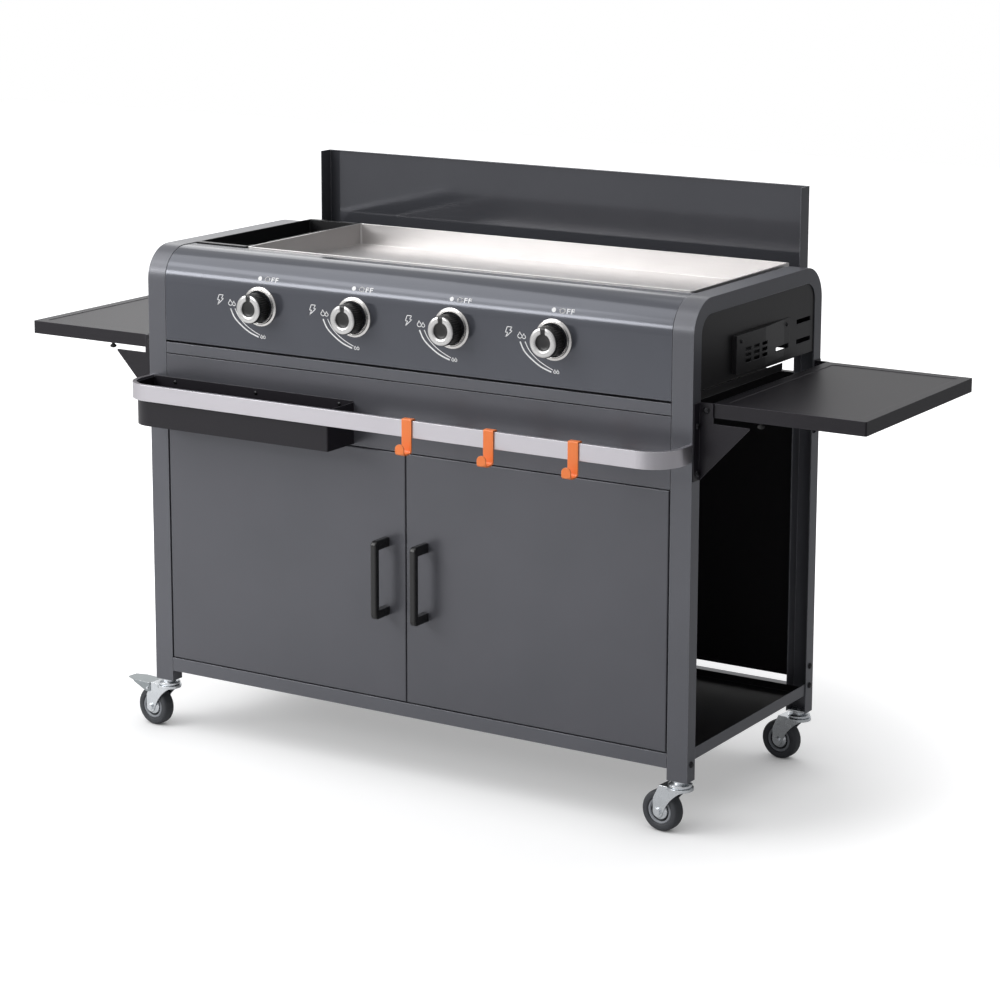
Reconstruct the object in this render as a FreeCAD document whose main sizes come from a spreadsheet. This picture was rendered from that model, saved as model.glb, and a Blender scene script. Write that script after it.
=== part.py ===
"""Outdoor gas griddle station: a wheeled cart with four burners under a lift-out plate.

Millimetres, +Z up, +Y to the back, +X to the right as the cook stands at the knobs. The origin is
on the ground, under the middle of the whole station. Places are worked out from the front faces
of the legs (y = 0) and every finished piece is then moved back by FRONT to that origin.
"""

import FreeCAD, Part
import os
from collections import namedtuple

import Sketcher

Circle = namedtuple("Circle", "across up radius")

DIMENSIONS = [
    # the two hoops that carry everything
    ("frame_width", 1155, "over the outer faces of the two hoops"),
    ("frame_depth", 490, "front face of the front legs to the back face of the rear legs"),
    ("deck_height", 936, "ground to the top of the hoops"),
    ("foot_height", 98, "ground to the underside of the legs"),
    ("hoop_face", 40, "width of a leg seen from the front"),
    ("hoop_flange", 28, "width of a leg seen from the side"),
    ("hoop_sheet", 2, "sheet of the hoops"),
    ("corner_radius", 62, "bend at the top corners of hoops and control panel"),
    # panels between the hoops
    ("panel_sheet", 1.5, "sheet of panels and doors"),
    ("side_gap", 1, "between a panel's end and the hoop"),
    ("tab_length", 18, "end tabs against the inner flanges of the legs"),
    ("tab_height", 12, "height of an end tab"),
    ("panel_height", 171.5, "front of the control panel"),
    ("panel_depth", 88, "how far the control panel's top runs back"),
    ("panel_lip", 14, "fold along the control panel's back and bottom edges"),
    ("shadow_gap", 4.5, "dark gap under the control panel"),
    ("strip_height", 20, "narrow rail under the control panel"),
    ("strip_depth", 22, "depth of that rail"),
    ("front_gap", 2, "gap between the front panels and round the doors"),
    ("fascia_height", 126, "panel above the doors"),
    ("fascia_depth", 30, "folds of that panel"),
    ("rail_rise", 21, "leg's foot to the underside of the front rail"),
    ("rail_height", 26, "front and back rails"),
    ("rail_depth", 20, "front and back rails"),
    ("side_rail_rise", 35.5, "leg's foot to the underside of a side rail"),
    ("side_rail_height", 21, "side rails"),
    ("ledge_width", 20, "ledge that carries the cabinet floor"),
    ("floor_lip", 14, "upturned edge of the cabinet floor"),
    ("back_foot", 28, "gap between the cabinet floor and the back panel"),
    ("back_drop", 201, "top of the hoops to the top of the back panel"),
    # doors and handles
    ("door_depth", 18, "folds round a door"),
    ("door_flange", 12, "inner fold of a door"),
    ("door_side_gap", 3, "between a door and its leg"),
    ("door_meeting_gap", 2, "between the two doors"),
    ("door_edge_radius", 2, "folded edges of the door's face"),
    ("pivot_inset", 16, "door's outer edge to its hinge pin"),
    ("pivot_depth", 9, "door's face to its hinge pin"),
    ("hinge_pin_radius", 3, "hinge pins of the doors"),
    ("hinge_pin_reach", 8, "how far a hinge pin stands out"),
    ("running_gap", 0.05, "radial clearance round pins and shafts"),
    ("catch_width", 36, "magnet catch behind each pair of door corners"),
    ("catch_gap", 0.4, "magnet catch to the doors"),
    ("handle_height", 146, "door pulls"),
    ("handle_reach", 44, "door's face to the front of the pull"),
    ("handle_width", 13, "grip"),
    ("handle_bar", 10, "depth of the grip"),
    ("handle_arm", 17, "height of the two arms"),
    ("handle_offset", 42, "middle of the station to a pull"),
    ("handle_radius", 3.5, "rounded edges of the grip"),
    # knobs, valves, burners
    ("knob_pitch", 208, "spacing of the knobs"),
    ("knob_offset", -5.5, "middle of the row of knobs"),
    ("knob_rise", 82.5, "bottom of the control panel to the knob axes"),
    ("knob_radius", 27, "knob"),
    ("knob_back", 7, "panel to the back of a knob"),
    ("knob_length", 29.5, "length of a knob"),
    ("knob_travel", 4, "how far a knob is pushed in to light"),
    ("knob_cap_radius", 14, "round middle of a knob's face"),
    ("knob_ring_rise", 1.2, "bright ring on a knob's face"),
    ("pointer_width", 8, "pointer slot in the bright ring"),
    ("flute_radius", 1.3, "grip flutes round a knob"),
    ("bezel_radius", 36.5, "chrome ring round a knob"),
    ("bezel_step_radius", 32.5, "raised step of that ring"),
    ("bezel_bore", 28, "opening of that ring"),
    ("bezel_rise", 6, "height of that ring"),
    ("stem_radius", 4, "valve stem"),
    ("stem_collar", 8, "collar that a knob pushes against"),
    ("stem_hole", 7, "hole in the control panel for a stem"),
    ("valve_width", 24, "valve body"),
    ("valve_front", 13, "control panel's face to the valve body"),
    ("valve_length", 38, "valve body, front to back"),
    ("valve_drop", 16, "knob axis to the underside of the valve"),
    ("manifold_size", 20, "square gas pipe"),
    ("manifold_wall", 2, "square gas pipe"),
    ("manifold_end", 52, "how far the pipe runs past the outer valves"),
    ("inlet_radius", 8, "gas inlet at the right end of the pipe"),
    ("inlet_length", 34, "gas inlet"),
    ("nozzle_radius", 4, "gas jet behind each valve"),
    ("nozzle_length", 20, "gas jet"),
    ("burner_radius", 12.5, "tube burner"),
    ("burner_wall", 1.5, "tube burner"),
    ("burner_start", 62, "legs' front faces to the mouth of a burner"),
    ("burner_port_width", 3, "flame slot across a burner"),
    ("burner_port_pitch", 24, "spacing of the flame slots"),
    ("electrode_radius", 3, "igniter electrode"),
    ("electrode_length", 46, "igniter electrode"),
    # plate, grease tray, firebox
    ("plate_width", 941, "cooking plate over its rim"),
    ("plate_depth", 372, "cooking plate over its rim"),
    ("plate_height", 40, "rim above the cooking face"),
    ("plate_wall", 4, "rim"),
    ("plate_floor", 6, "cooking face"),
    ("plate_front", 93, "legs' front faces to the plate"),
    ("plate_side_gap", 12.5, "plate to the right hoop"),
    ("plate_corner", 6, "corners of the plate"),
    ("rim_rise", 1, "rim above the hoops"),
    ("drain_width", 44, "drain slot in the left rim"),
    ("drain_height", 9, "drain slot in the left rim"),
    ("tongue_gap", 0.3, "drip tongue of the grease tray to the plate"),
    ("tongue_drop", 3, "cooking face to the top of the drip tongue"),
    ("plate_foot_radius", 8, "levelling feet under the plate"),
    ("plate_foot_height", 5, "levelling feet under the plate"),
    ("tray_side_gap", 4.5, "grease tray to the left hoop"),
    ("tray_plate_gap", 4, "grease tray to the plate"),
    ("tray_sheet", 1.5, "grease tray"),
    ("tray_corner", 5, "corners of the grease tray"),
    ("tray_lip", 9, "front and back rims of the grease tray"),
    ("firebox_sheet", 1.5, "firebox walls"),
    ("firebox_height", 155, "top of the hoops to the underside of the side walls"),
    ("firebox_front", 97, "legs' front faces to the firebox front wall"),
    ("firebox_back_gap", 31, "firebox back wall to the legs' back faces"),
    ("seat_width", 14, "seat round the top of the firebox"),
    ("partition_inset", 12, "left edge of the plate to the firebox partition"),
    ("vent_length", 56, "long air slots in the side walls"),
    ("vent_height", 8.5, "long air slots in the side walls"),
    ("vent_back", 42, "long air slots to the legs' back faces"),
    ("vent_top", 88, "top of the hoops to the upper air slot"),
    ("vent_pitch", 36, "between the two air slots one above the other"),
    ("vent_step", 90, "how far the third air slot lies before the other two"),
    ("cover_front", 144, "legs' front faces to the vent cover"),
    ("cover_length", 218, "vent cover"),
    ("cover_height", 67, "vent cover"),
    ("cover_rise", 9, "how far the vent cover stands out"),
    ("cover_top", 79, "top of the hoops to the vent cover"),
    ("cover_screw_inset", 11, "edge of the vent cover to its screws"),
    ("cover_slot_length", 21.5, "small slots of the vent cover"),
    ("cover_slot_height", 6.2, "small slots of the vent cover"),
    ("cover_slot_pitch", 31.5, "small slots, front to back"),
    ("cover_slot_rise", 10.2, "small slots, one above the other"),
    ("cover_slot_start", 33, "front of the vent cover to its first small slots"),
    ("cover_slot_foot", 15.5, "foot of the vent cover to its lowest small slots"),
    ("shield_drop", 170, "top of the hoops to the heat shield"),
    ("shield_depth", 320, "heat shield over the cabinet"),
    ("shield_lip", 12, "turned edges of the heat shield"),
    ("hose_hole", 14, "hole in the heat shield for a gas hose"),
    ("hose_hole_out", 60, "tip of the gas inlet to that hole"),
    ("hose_hole_back", 56, "legs' front faces to that hole"),
    # backsplash
    ("splash_width", 1060, "wind guard behind the plate"),
    ("splash_rise", 134, "wind guard above the hoops"),
    ("splash_drop", 90, "wind guard below the top of the hoops"),
    ("splash_standoff", 37, "legs' back faces to the back of the wind guard"),
    ("splash_wing", 33, "side wings of the wind guard"),
    ("splash_hem", 4, "hemmed top edge of the wind guard"),
    ("splash_foot", 22.5, "how far a foot of the wind guard laps over a leg"),
    # towel bar, condiment tray, hooks
    ("bar_drop", 273, "top of the hoops to the underside of the towel bar"),
    ("bar_level", "=deck_height - bar_drop", "ground to the underside of the towel bar"),
    ("bar_height", 30, "towel bar"),
    ("bar_thickness", 8, "towel bar"),
    ("bar_reach", 90, "legs' front faces to the front of the towel bar"),
    ("bar_radius", 58, "bends of the towel bar"),
    ("caddy_length", 455, "condiment tray"),
    ("caddy_end_gap", 3, "condiment tray to the bent end of the towel bar"),
    ("caddy_drop", 322, "top of the hoops to the underside of the condiment tray"),
    ("caddy_level", "=deck_height - caddy_drop", "ground to that underside"),
    ("caddy_height", 76, "condiment tray"),
    ("caddy_back_rise", 3, "back edge of the condiment tray above its rim"),
    ("caddy_sheet", 1.5, "condiment tray"),
    ("caddy_radius", 47, "rounded corner of the condiment tray"),
    ("caddy_edge", 3, "right front corner of the condiment tray"),
    ("caddy_screw_pitch", 187, "screws of the condiment tray"),
    ("caddy_screw_inset", 50, "left end of the condiment tray to its first screw"),
    ("caddy_screw_drop", 9, "back edge of the condiment tray to its screws"),
    ("hook_width", 20, "utensil hooks"),
    ("hook_strap", 2.5, "thickness of a hook"),
    ("hook_clearance", 0.3, "hook to the towel bar"),
    ("hook_back", 18, "hook behind the towel bar"),
    ("hook_drop", 29, "underside of the towel bar to the bottom of a hook"),
    ("hook_reach", 25, "front of the towel bar to the tip of a hook"),
    ("hook_bend", 7, "bend at the bottom of a hook"),
    ("hook_tip_radius", 9, "round end of a hook"),
    ("hook_first", 64, "middle of the station to the first hook"),
    ("hook_pitch", 168, "spacing of the hooks"),
    # fold-down side shelves
    ("shelf_length", 280, "side shelf, outwards"),
    ("shelf_thickness", 24.5, "apron of a side shelf"),
    ("shelf_drop", 173, "top of the hoops to the top of a side shelf"),
    ("shelf_level", "=deck_height - shelf_drop", "ground to the top of a side shelf"),
    ("shelf_gap", 25.5, "leg to the inner edge of a shelf's top"),
    ("shelf_inset", 24.5, "legs' front faces to the shelf's front apron"),
    ("shelf_sheet", 1.5, "side shelf"),
    ("shelf_radius", 3, "outer corners of a side shelf"),
    ("shelf_border", 20, "raised border of a side shelf"),
    ("shelf_recess", 0.8, "depth of the field inside that border"),
    ("shelf_hem", 12, "turned-in bottom edge of a shelf's apron"),
    ("pivot_out", 14.5, "leg to the pivot of a shelf"),
    ("buffer_out", 98, "pivot of a shelf to its rubber buffers"),
    ("buffer_inset", 6, "outside of a shelf's apron to its buffers"),
    ("buffer_radius", 6, "rubber buffers"),
    ("buffer_height", 10, "rubber buffers"),
    ("bracket_gap", 0.5, "bracket to the shelf's apron"),
    ("bracket_sheet", 3, "shelf brackets"),
    ("bracket_length", 95, "shelf brackets"),
    ("bracket_drop", 134, "top of the shelves to the tip of a bracket"),
    ("bracket_shoulder", 10, "underside of a shelf to the bracket's shoulder"),
    ("bracket_ear", 27, "upright ear of a bracket"),
    # bolts and screws
    ("bolt_radius", 3, "shank of the frame bolts"),
    ("bolt_head_radius", 6, "domed heads of the frame bolts"),
    ("bolt_head_height", 3.5, "domed heads of the frame bolts"),
    ("bolt_length", 9, "shank of the frame bolts"),
    ("bolt_inset", 14, "edge of a leg to its bolts"),
    ("bolt_low", 31, "leg's foot to the front rail bolt"),
    ("bolt_rear_low", 52, "leg's foot to the lower bolt of a rear leg"),
    ("bolt_rear_high", 89, "leg's foot to the upper bolt of a rear leg"),
    ("bolt_bracket_low", 122, "top of the shelves to the lower bracket bolt"),
    ("bolt_bracket_high", 40, "top of the shelves to the upper bracket bolt"),
    ("screw_radius", 1.8, "shank of the small screws"),
    ("screw_head_radius", 4, "heads of the small screws"),
    ("screw_head_height", 2, "heads of the small screws"),
    ("screw_length", 4, "shank of the small screws"),
    # casters
    ("wheel_radius", 37, "caster wheel"),
    ("wheel_width", 25, "caster wheel"),
    ("tyre_shoulder", 4, "rounded shoulders of the tyre"),
    ("core_radius", 23.5, "grey core of a wheel"),
    ("core_width", 21, "rim of that core"),
    ("core_web", 13, "web between the hub and that rim"),
    ("core_well", 19, "inner edge of that rim"),
    ("hub_radius", 15.5, "bright disc over a wheel's bearing"),
    ("hub_tube", 8, "tube round a wheel's axle"),
    ("hub_play", 0.3, "that tube to the fork"),
    ("axle_radius", 4, "wheel axle"),
    ("axle_head", 6.5, "heads of the wheel axle"),
    ("axle_head_height", 3.5, "heads of the wheel axle"),
    ("trail", 36, "swivel axis to the axle"),
    ("fork_sheet", 2.5, "caster fork"),
    ("fork_gap", 1.6, "wheel to the fork"),
    ("fork_top", 86, "ground to the top of the fork"),
    ("fork_lip", 5, "round lip of the fork under the swivel"),
    ("fork_front", 15, "swivel axis to the front end of a cheek"),
    ("fork_tail", 34, "swivel axis to the fork's upper tail edge"),
    ("fork_waist", 60, "ground to the bend in the fork's tail edge"),
    ("fork_boss", 10, "round lower end of a cheek"),
    ("sweep_radius", 83, "hollow sweep along the front of a cheek"),
    ("sweep_front", 52, "swivel axis forward to the middle of that sweep"),
    ("sweep_level", 7, "ground to the middle of that sweep"),
    ("crown_radius", 23, "round end of the fork under the swivel"),
    ("race_radius", 21, "upper swivel race"),
    ("race_height", 7, "upper swivel race"),
    ("race_edge", 2, "bevels of the upper swivel race"),
    ("race_neck", 13, "neck between the race and the leg"),
    ("race_gap", 0.4, "fork to the upper swivel race"),
    ("foot_plate", 3, "plate welded into a leg's foot"),
    ("foot_width", 36, "plate welded into a leg's foot"),
    ("foot_depth", 24, "plate welded into a leg's foot"),
    ("king_pin_radius", 5, "swivel pin"),
    ("swivel_angle", 174, "direction in which the wheels trail"),
    ("pedal_reach", 100, "swivel axis to the tip of a brake pedal"),
    ("pedal_top", 85, "ground to the top of a brake pedal"),
    ("pedal_sheet", 2, "brake pedal"),
    ("pedal_gap", 0.3, "brake pedal to the fork"),
    ("pedal_start", 36, "swivel axis to the near edge of the pedal's top"),
    ("pedal_bend", 78, "swivel axis to where the pedal narrows"),
    ("pedal_tip", 21, "width of the pedal's tip"),
    ("pedal_pin_out", 41, "swivel axis to the pedal's rivets"),
    ("pedal_pin_level", 74.5, "ground to the pedal's rivets"),
    ("pedal_pin_radius", 2.5, "rivets of the brake pedal"),
    ("pedal_ear", 5, "ears of the fork round those rivets"),
    ("pedal_side_foot", 67.5, "ground to the lower edge of the pedal's sides"),
    ("shoe_out", 52, "swivel axis to the brake shoe"),
    ("shoe_size", 8, "brake shoe under the pedal"),
    ("shoe_foot", 75, "ground to the brake shoe"),
]

document = FreeCAD.newDocument("GriddleStation")
sheet = document.addObject("Spreadsheet::Sheet", "Sizes")
for row, (name, number, meaning) in enumerate(DIMENSIONS, start=1):
    sheet.set(f"A{row}", name)
    sheet.set(f"B{row}", str(number))
    sheet.set(f"C{row}", meaning)
    sheet.setAlias(f"B{row}", name)
document.recompute()

# Places that several pieces share, as expressions over the sheet
FRONT = "((Sizes.bar_reach + Sizes.hook_reach - Sizes.frame_depth - Sizes.splash_standoff) / 2)"
HALF = "(Sizes.frame_width / 2)"
LEG_EDGE = "(Sizes.frame_width / 2 - Sizes.hoop_face)"
LEG_INSIDE = "(Sizes.frame_width / 2 - Sizes.hoop_sheet)"
BEHIND_LEG = "Sizes.hoop_sheet"
REAR = "Sizes.frame_depth"
BEFORE_REAR = "(Sizes.frame_depth - Sizes.hoop_sheet)"
PANEL_END = f"({LEG_EDGE} - Sizes.side_gap)"
PANEL_TOP = "(Sizes.deck_height - Sizes.side_gap)"
PANEL_FOOT = f"({PANEL_TOP} - Sizes.panel_height)"
KNOB_LEVEL = f"({PANEL_FOOT} + Sizes.knob_rise)"
STRIP_TOP = f"({PANEL_FOOT} - Sizes.shadow_gap)"
STRIP_FOOT = f"({STRIP_TOP} - Sizes.strip_height)"
FASCIA_TOP = f"({STRIP_FOOT} - Sizes.front_gap)"
FASCIA_FOOT = f"({FASCIA_TOP} - Sizes.fascia_height)"
RAIL_FOOT = "(Sizes.foot_height + Sizes.rail_rise)"
RAIL_TOP = f"({RAIL_FOOT} + Sizes.rail_height)"
DOOR_FOOT = f"({RAIL_TOP} + Sizes.front_gap)"
DOOR_TOP = f"({FASCIA_FOOT} - Sizes.front_gap)"
DOOR_EDGE = f"({LEG_EDGE} - Sizes.door_side_gap)"
SIDE_RAIL_FOOT = "(Sizes.foot_height + Sizes.side_rail_rise)"
FLOOR_FOOT = f"({SIDE_RAIL_FOOT} + Sizes.panel_sheet)"
RIM_TOP = "(Sizes.deck_height + Sizes.rim_rise)"
PLATE_FOOT = f"({RIM_TOP} - Sizes.plate_height - Sizes.plate_floor)"
SEAT_TOP = f"({PLATE_FOOT} - Sizes.plate_foot_height)"
PLATE_RIGHT = f"({LEG_EDGE} - Sizes.plate_side_gap)"
PLATE_LEFT = f"({PLATE_RIGHT} - Sizes.plate_width)"
FIREBOX_FOOT = "(Sizes.deck_height - Sizes.firebox_height)"
FIREBOX_REAR = f"({REAR} - Sizes.firebox_back_gap)"
SIDE_WALL = f"({LEG_INSIDE} - Sizes.firebox_sheet)"
MANIFOLD_TOP = f"({KNOB_LEVEL} - Sizes.valve_drop)"
BAR_BACK = "(Sizes.bar_thickness - Sizes.bar_reach)"
BAR_TOP = "(Sizes.bar_level + Sizes.bar_height)"
CADDY_LEFT = f"(-{HALF} + Sizes.bar_thickness + Sizes.caddy_end_gap)"
CADDY_TOP = "(Sizes.caddy_level + Sizes.caddy_height)"
CADDY_BACK_TOP = f"({CADDY_TOP} + Sizes.caddy_back_rise)"
SHELF_FOOT = "(Sizes.shelf_level - Sizes.shelf_thickness)"
SHELF_IN = f"({HALF} + Sizes.shelf_gap)"
SHELF_OUT = f"({SHELF_IN} + Sizes.shelf_length)"
PIVOT = f"({HALF} + Sizes.pivot_out)"
PIVOT_LEVEL = "(Sizes.shelf_level - Sizes.shelf_thickness / 2)"
SPLASH_BACK = "(Sizes.frame_depth + Sizes.splash_standoff)"
CASTER_OUT = f"({LEG_INSIDE} - Sizes.foot_width / 2)"
CASTER_FRONT = "(Sizes.hoop_sheet + Sizes.foot_depth / 2)"
CASTER_REAR = f"({BEFORE_REAR} - Sizes.foot_depth / 2)"
FORK_INSIDE = "(Sizes.wheel_width / 2 + Sizes.fork_gap)"
FORK_OUTSIDE = f"({FORK_INSIDE} + Sizes.fork_sheet)"
PEDAL_SIDE = f"({FORK_OUTSIDE} + Sizes.pedal_gap)"
PEDAL_PIN = ("Sizes.pedal_pin_out", "Sizes.pedal_pin_level")
BOLT_HOLE = "(Sizes.bolt_radius + Sizes.running_gap)"
SCREW_HOLE = "(Sizes.screw_radius + Sizes.running_gap)"
COVER_FOOT = "(Sizes.deck_height - Sizes.cover_top - Sizes.cover_height)"
COVER_SCREW_LEVEL = f"({COVER_FOOT} + Sizes.cover_height - Sizes.cover_screw_inset)"
COVER_BACK = "(Sizes.cover_front + Sizes.cover_length)"

TINY = 0.001
KNOBS = 4
HOOKS = 3
FLUTES = 24

kept = []


def value(expression):
    """Number that an expression over the sheet comes to."""
    return float(sheet.evalExpression(str(expression)))


def keep(node, piece):
    """Names a finished piece and puts it on the list of pieces to write."""
    piece.Label = node
    kept.append(piece)
    return piece


def moved(piece, across="0", back="0", up="0", turn=None):
    """Binds a piece's place, measured from the legs' front faces, and its turn about Z."""
    piece.setExpression(".Placement.Base.x", across)
    piece.setExpression(".Placement.Base.y", f"{FRONT} + {back}")
    piece.setExpression(".Placement.Base.z", up)
    if turn is not None:
        piece.setExpression(".Placement.Rotation.Angle", turn)
    return piece


def new_body(name):
    """An empty body at the station's origin."""
    return document.addObject("PartDesign::Body", name)


def box_outline(left, low, right, high, radius=None):
    """Corners of a rectangle, all rounded alike where a radius is given."""
    corners = [(left, low), (right, low), (right, high), (left, high)]
    if radius is None:
        return corners
    return [(across, up, radius) for across, up in corners]


def rounded_corner(before, corner, after):
    """The two tangent points of a rounded square corner and which way its arc turns."""
    across, up, radius = corner
    here = (value(across), value(up))
    ends = []
    for other in (before, after):
        step_across = value(other[0]) - here[0]
        step_up = value(other[1]) - here[1]
        if abs(step_across) > abs(step_up):
            sign = "+" if step_across > 0 else "-"
            ends.append((f"{across} {sign} ({radius})", up))
        else:
            sign = "+" if step_up > 0 else "-"
            ends.append((across, f"{up} {sign} ({radius})"))
    return ends


def add_polygon(sketch, corners):
    """Draws one closed outline of straight sides and square rounded corners, every point bound."""
    count = len(corners)
    points = []
    arcs = {}
    for index, corner in enumerate(corners):
        if len(corner) == 2:
            points.append(corner)
            continue
        first, last = rounded_corner(corners[index - 1], corner, corners[(index + 1) % count])
        arcs[len(points)] = (corner[2], corner)
        points.extend([first, last])
    places = [FreeCAD.Vector(value(across), value(up), 0) for across, up in points]
    pieces = []
    for index in range(len(points)):
        start = places[index]
        end = places[(index + 1) % len(points)]
        if index not in arcs:
            pieces.append((sketch.addGeometry(Part.LineSegment(start, end)), 1, 2))
            continue
        radius, corner = arcs[index]
        tip = FreeCAD.Vector(value(corner[0]), value(corner[1]), 0)
        centre = start + end - tip
        middle = centre + (tip - centre).normalize() * value(radius)
        arc = sketch.addGeometry(Part.Arc(start, middle, end))
        forwards = (start - centre).cross(end - centre).z > 0
        pieces.append((arc, 1, 2) if forwards else (arc, 2, 1))
        radius_rule = sketch.addConstraint(Sketcher.Constraint("Radius", arc, value(radius)))
        sketch.setExpression(f"Constraints[{radius_rule}]", radius)
    for index, (edge, first_end, last_end) in enumerate(pieces):
        following = pieces[(index + 1) % len(pieces)]
        sketch.addConstraint(
            Sketcher.Constraint("Coincident", edge, last_end, following[0], following[1])
        )
        for kind, coordinate, expression in (
            ("DistanceX", places[index].x, points[index][0]),
            ("DistanceY", places[index].y, points[index][1]),
        ):
            rule = sketch.addConstraint(Sketcher.Constraint(kind, edge, first_end, coordinate))
            sketch.setExpression(f"Constraints[{rule}]", expression)


def add_circle(sketch, circle):
    """Draws one circle, its centre and radius bound."""
    centre = FreeCAD.Vector(value(circle.across), value(circle.up), 0)
    normal = FreeCAD.Vector(0, 0, 1)
    edge = sketch.addGeometry(Part.Circle(centre, normal, value(circle.radius)))
    rules = [
        (Sketcher.Constraint("Radius", edge, value(circle.radius)), circle.radius),
        (Sketcher.Constraint("DistanceX", edge, 3, centre.x), circle.across),
        (Sketcher.Constraint("DistanceY", edge, 3, centre.y), circle.up),
    ]
    for constraint, expression in rules:
        rule = sketch.addConstraint(constraint)
        sketch.setExpression(f"Constraints[{rule}]", expression)


def draw(body, plane, outlines, level="0"):
    """Sketch on one of the body's own origin planes, holding closed outlines and circles."""
    sketch = body.newObject("Sketcher::SketchObject", f"{body.Name}_sketch")
    support = [item for item in body.Origin.OriginFeatures if item.Role == f"{plane}_Plane"]
    sketch.AttachmentSupport = [(support[0], "")]
    sketch.MapMode = "FlatFace"
    sketch.setExpression(".AttachmentOffset.Base.z", level)
    for outline in outlines:
        if isinstance(outline, Circle):
            add_circle(sketch, outline)
        else:
            add_polygon(sketch, outline)
    return sketch


def pad(body, plane, outlines, start, length):
    """Adds material from start, over length, along the axis that the plane faces."""
    level = f"-({start} + {length})" if plane == "XZ" else start
    feature = body.newObject("PartDesign::Pad", f"{body.Name}_pad")
    feature.Profile = draw(body, plane, outlines, level)
    feature.setExpression("Length", length)
    return feature


def pocket(body, plane, outlines, start, length):
    """Takes material away from start, over length, along the axis that the plane faces."""
    level = f"-({start})" if plane == "XZ" else f"{start} + {length}"
    feature = body.newObject("PartDesign::Pocket", f"{body.Name}_pocket")
    feature.Profile = draw(body, plane, outlines, level)
    feature.Type = "Length"
    feature.setExpression("Length", length)
    return feature


def turned(body, plane, outline):
    """Turns an outline of (radius, place along the axis) once round the sketch's upright axis."""
    feature = body.newObject("PartDesign::Revolution", f"{body.Name}_turned")
    sketch = draw(body, plane, [outline])
    feature.Profile = sketch
    feature.ReferenceAxis = (sketch, ["V_Axis"])
    feature.Angle = 360
    return feature


def rounded(body, feature, radius, chosen):
    """Rounds those edges of a feature that the test function picks."""
    document.recompute()
    names = [
        f"Edge{number}"
        for number, edge in enumerate(feature.Shape.Edges, start=1)
        if chosen(edge.BoundBox)
    ]
    fillet = body.newObject("PartDesign::Fillet", f"{body.Name}_fillet")
    fillet.Base = (feature, names)
    fillet.setExpression("Radius", radius)
    return fillet


def mirror(node, source, back=None):
    """The same piece on the other side of the station, or at the back where a place is given."""
    piece = document.addObject("Part::Mirroring", node)
    piece.Source = source
    if back is None:
        piece.Normal = FreeCAD.Vector(1, 0, 0)
    else:
        piece.Normal = FreeCAD.Vector(0, 1, 0)
        piece.setExpression(".Base.y", f"{FRONT} + {back}")
    return piece


def bundle(name, pieces):
    """Several separate solids as one piece."""
    group = document.addObject("Part::Compound", name)
    group.Links = pieces
    return group


def copies(name, source, places):
    """One copy of a source piece at each place, an expression for x, y, z and turn about Z."""
    made = []
    for number, (across, back, up, turn) in enumerate(places, start=1):
        copy = bundle(f"{name}_{number}", [source])
        made.append(moved(copy, across, back, up, turn))
    return made


def knob_place(number):
    """Place of a knob's axis across the station."""
    return f"(Sizes.knob_offset + {number - (KNOBS - 1) / 2} * Sizes.knob_pitch)"


def make_hoop():
    """Right-hand hoop: an upside-down U of folded sheet whose two edges both turn inwards."""
    body = new_body("right_hoop_body")

    def band(thickness):
        inner = f"(Sizes.corner_radius - {thickness})"
        return [
            ("0", "Sizes.foot_height"),
            ("0", "Sizes.deck_height", "Sizes.corner_radius"),
            (REAR, "Sizes.deck_height", "Sizes.corner_radius"),
            (REAR, "Sizes.foot_height"),
            (f"{REAR} - {thickness}", "Sizes.foot_height"),
            (f"{REAR} - {thickness}", f"Sizes.deck_height - {thickness}", inner),
            (thickness, f"Sizes.deck_height - {thickness}", inner),
            (thickness, "Sizes.foot_height"),
        ]

    pad(body, "YZ", [band("Sizes.hoop_sheet")], LEG_EDGE, "Sizes.hoop_face")
    for start in (LEG_INSIDE, LEG_EDGE):
        pad(body, "YZ", [band("Sizes.hoop_flange")], start, "Sizes.hoop_sheet")
    front = "Sizes.bolt_inset"
    rear = f"({REAR} - Sizes.bolt_inset)"
    holes = [
        (front, "Sizes.foot_height + Sizes.bolt_low"),
        (rear, "Sizes.foot_height + Sizes.bolt_rear_low"),
        (rear, "Sizes.foot_height + Sizes.bolt_rear_high"),
    ]
    for leg in (front, rear):
        holes.append((leg, "Sizes.shelf_level - Sizes.bolt_bracket_low"))
        holes.append((leg, "Sizes.shelf_level - Sizes.bolt_bracket_high"))
    circles = [Circle(back, up, BOLT_HOLE) for back, up in holes]
    pocket(body, "YZ", circles, LEG_INSIDE, "Sizes.hoop_sheet")
    moved(body)
    keep("right_hoop", body)
    keep("left_hoop", mirror("left_hoop_mirror", body))


def end_tabs(body, low, high, near="Sizes.panel_sheet"):
    """Tabs at both ends of a panel, folded back against the inner flanges of the hoops."""
    root = f"({PANEL_END} - Sizes.panel_sheet)"
    for left, right in ((f"-{LEG_EDGE}", f"-{root}"), (root, LEG_EDGE)):
        pad(body, "XZ", [box_outline(left, low, right, high)], near, "Sizes.tab_length")


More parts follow.
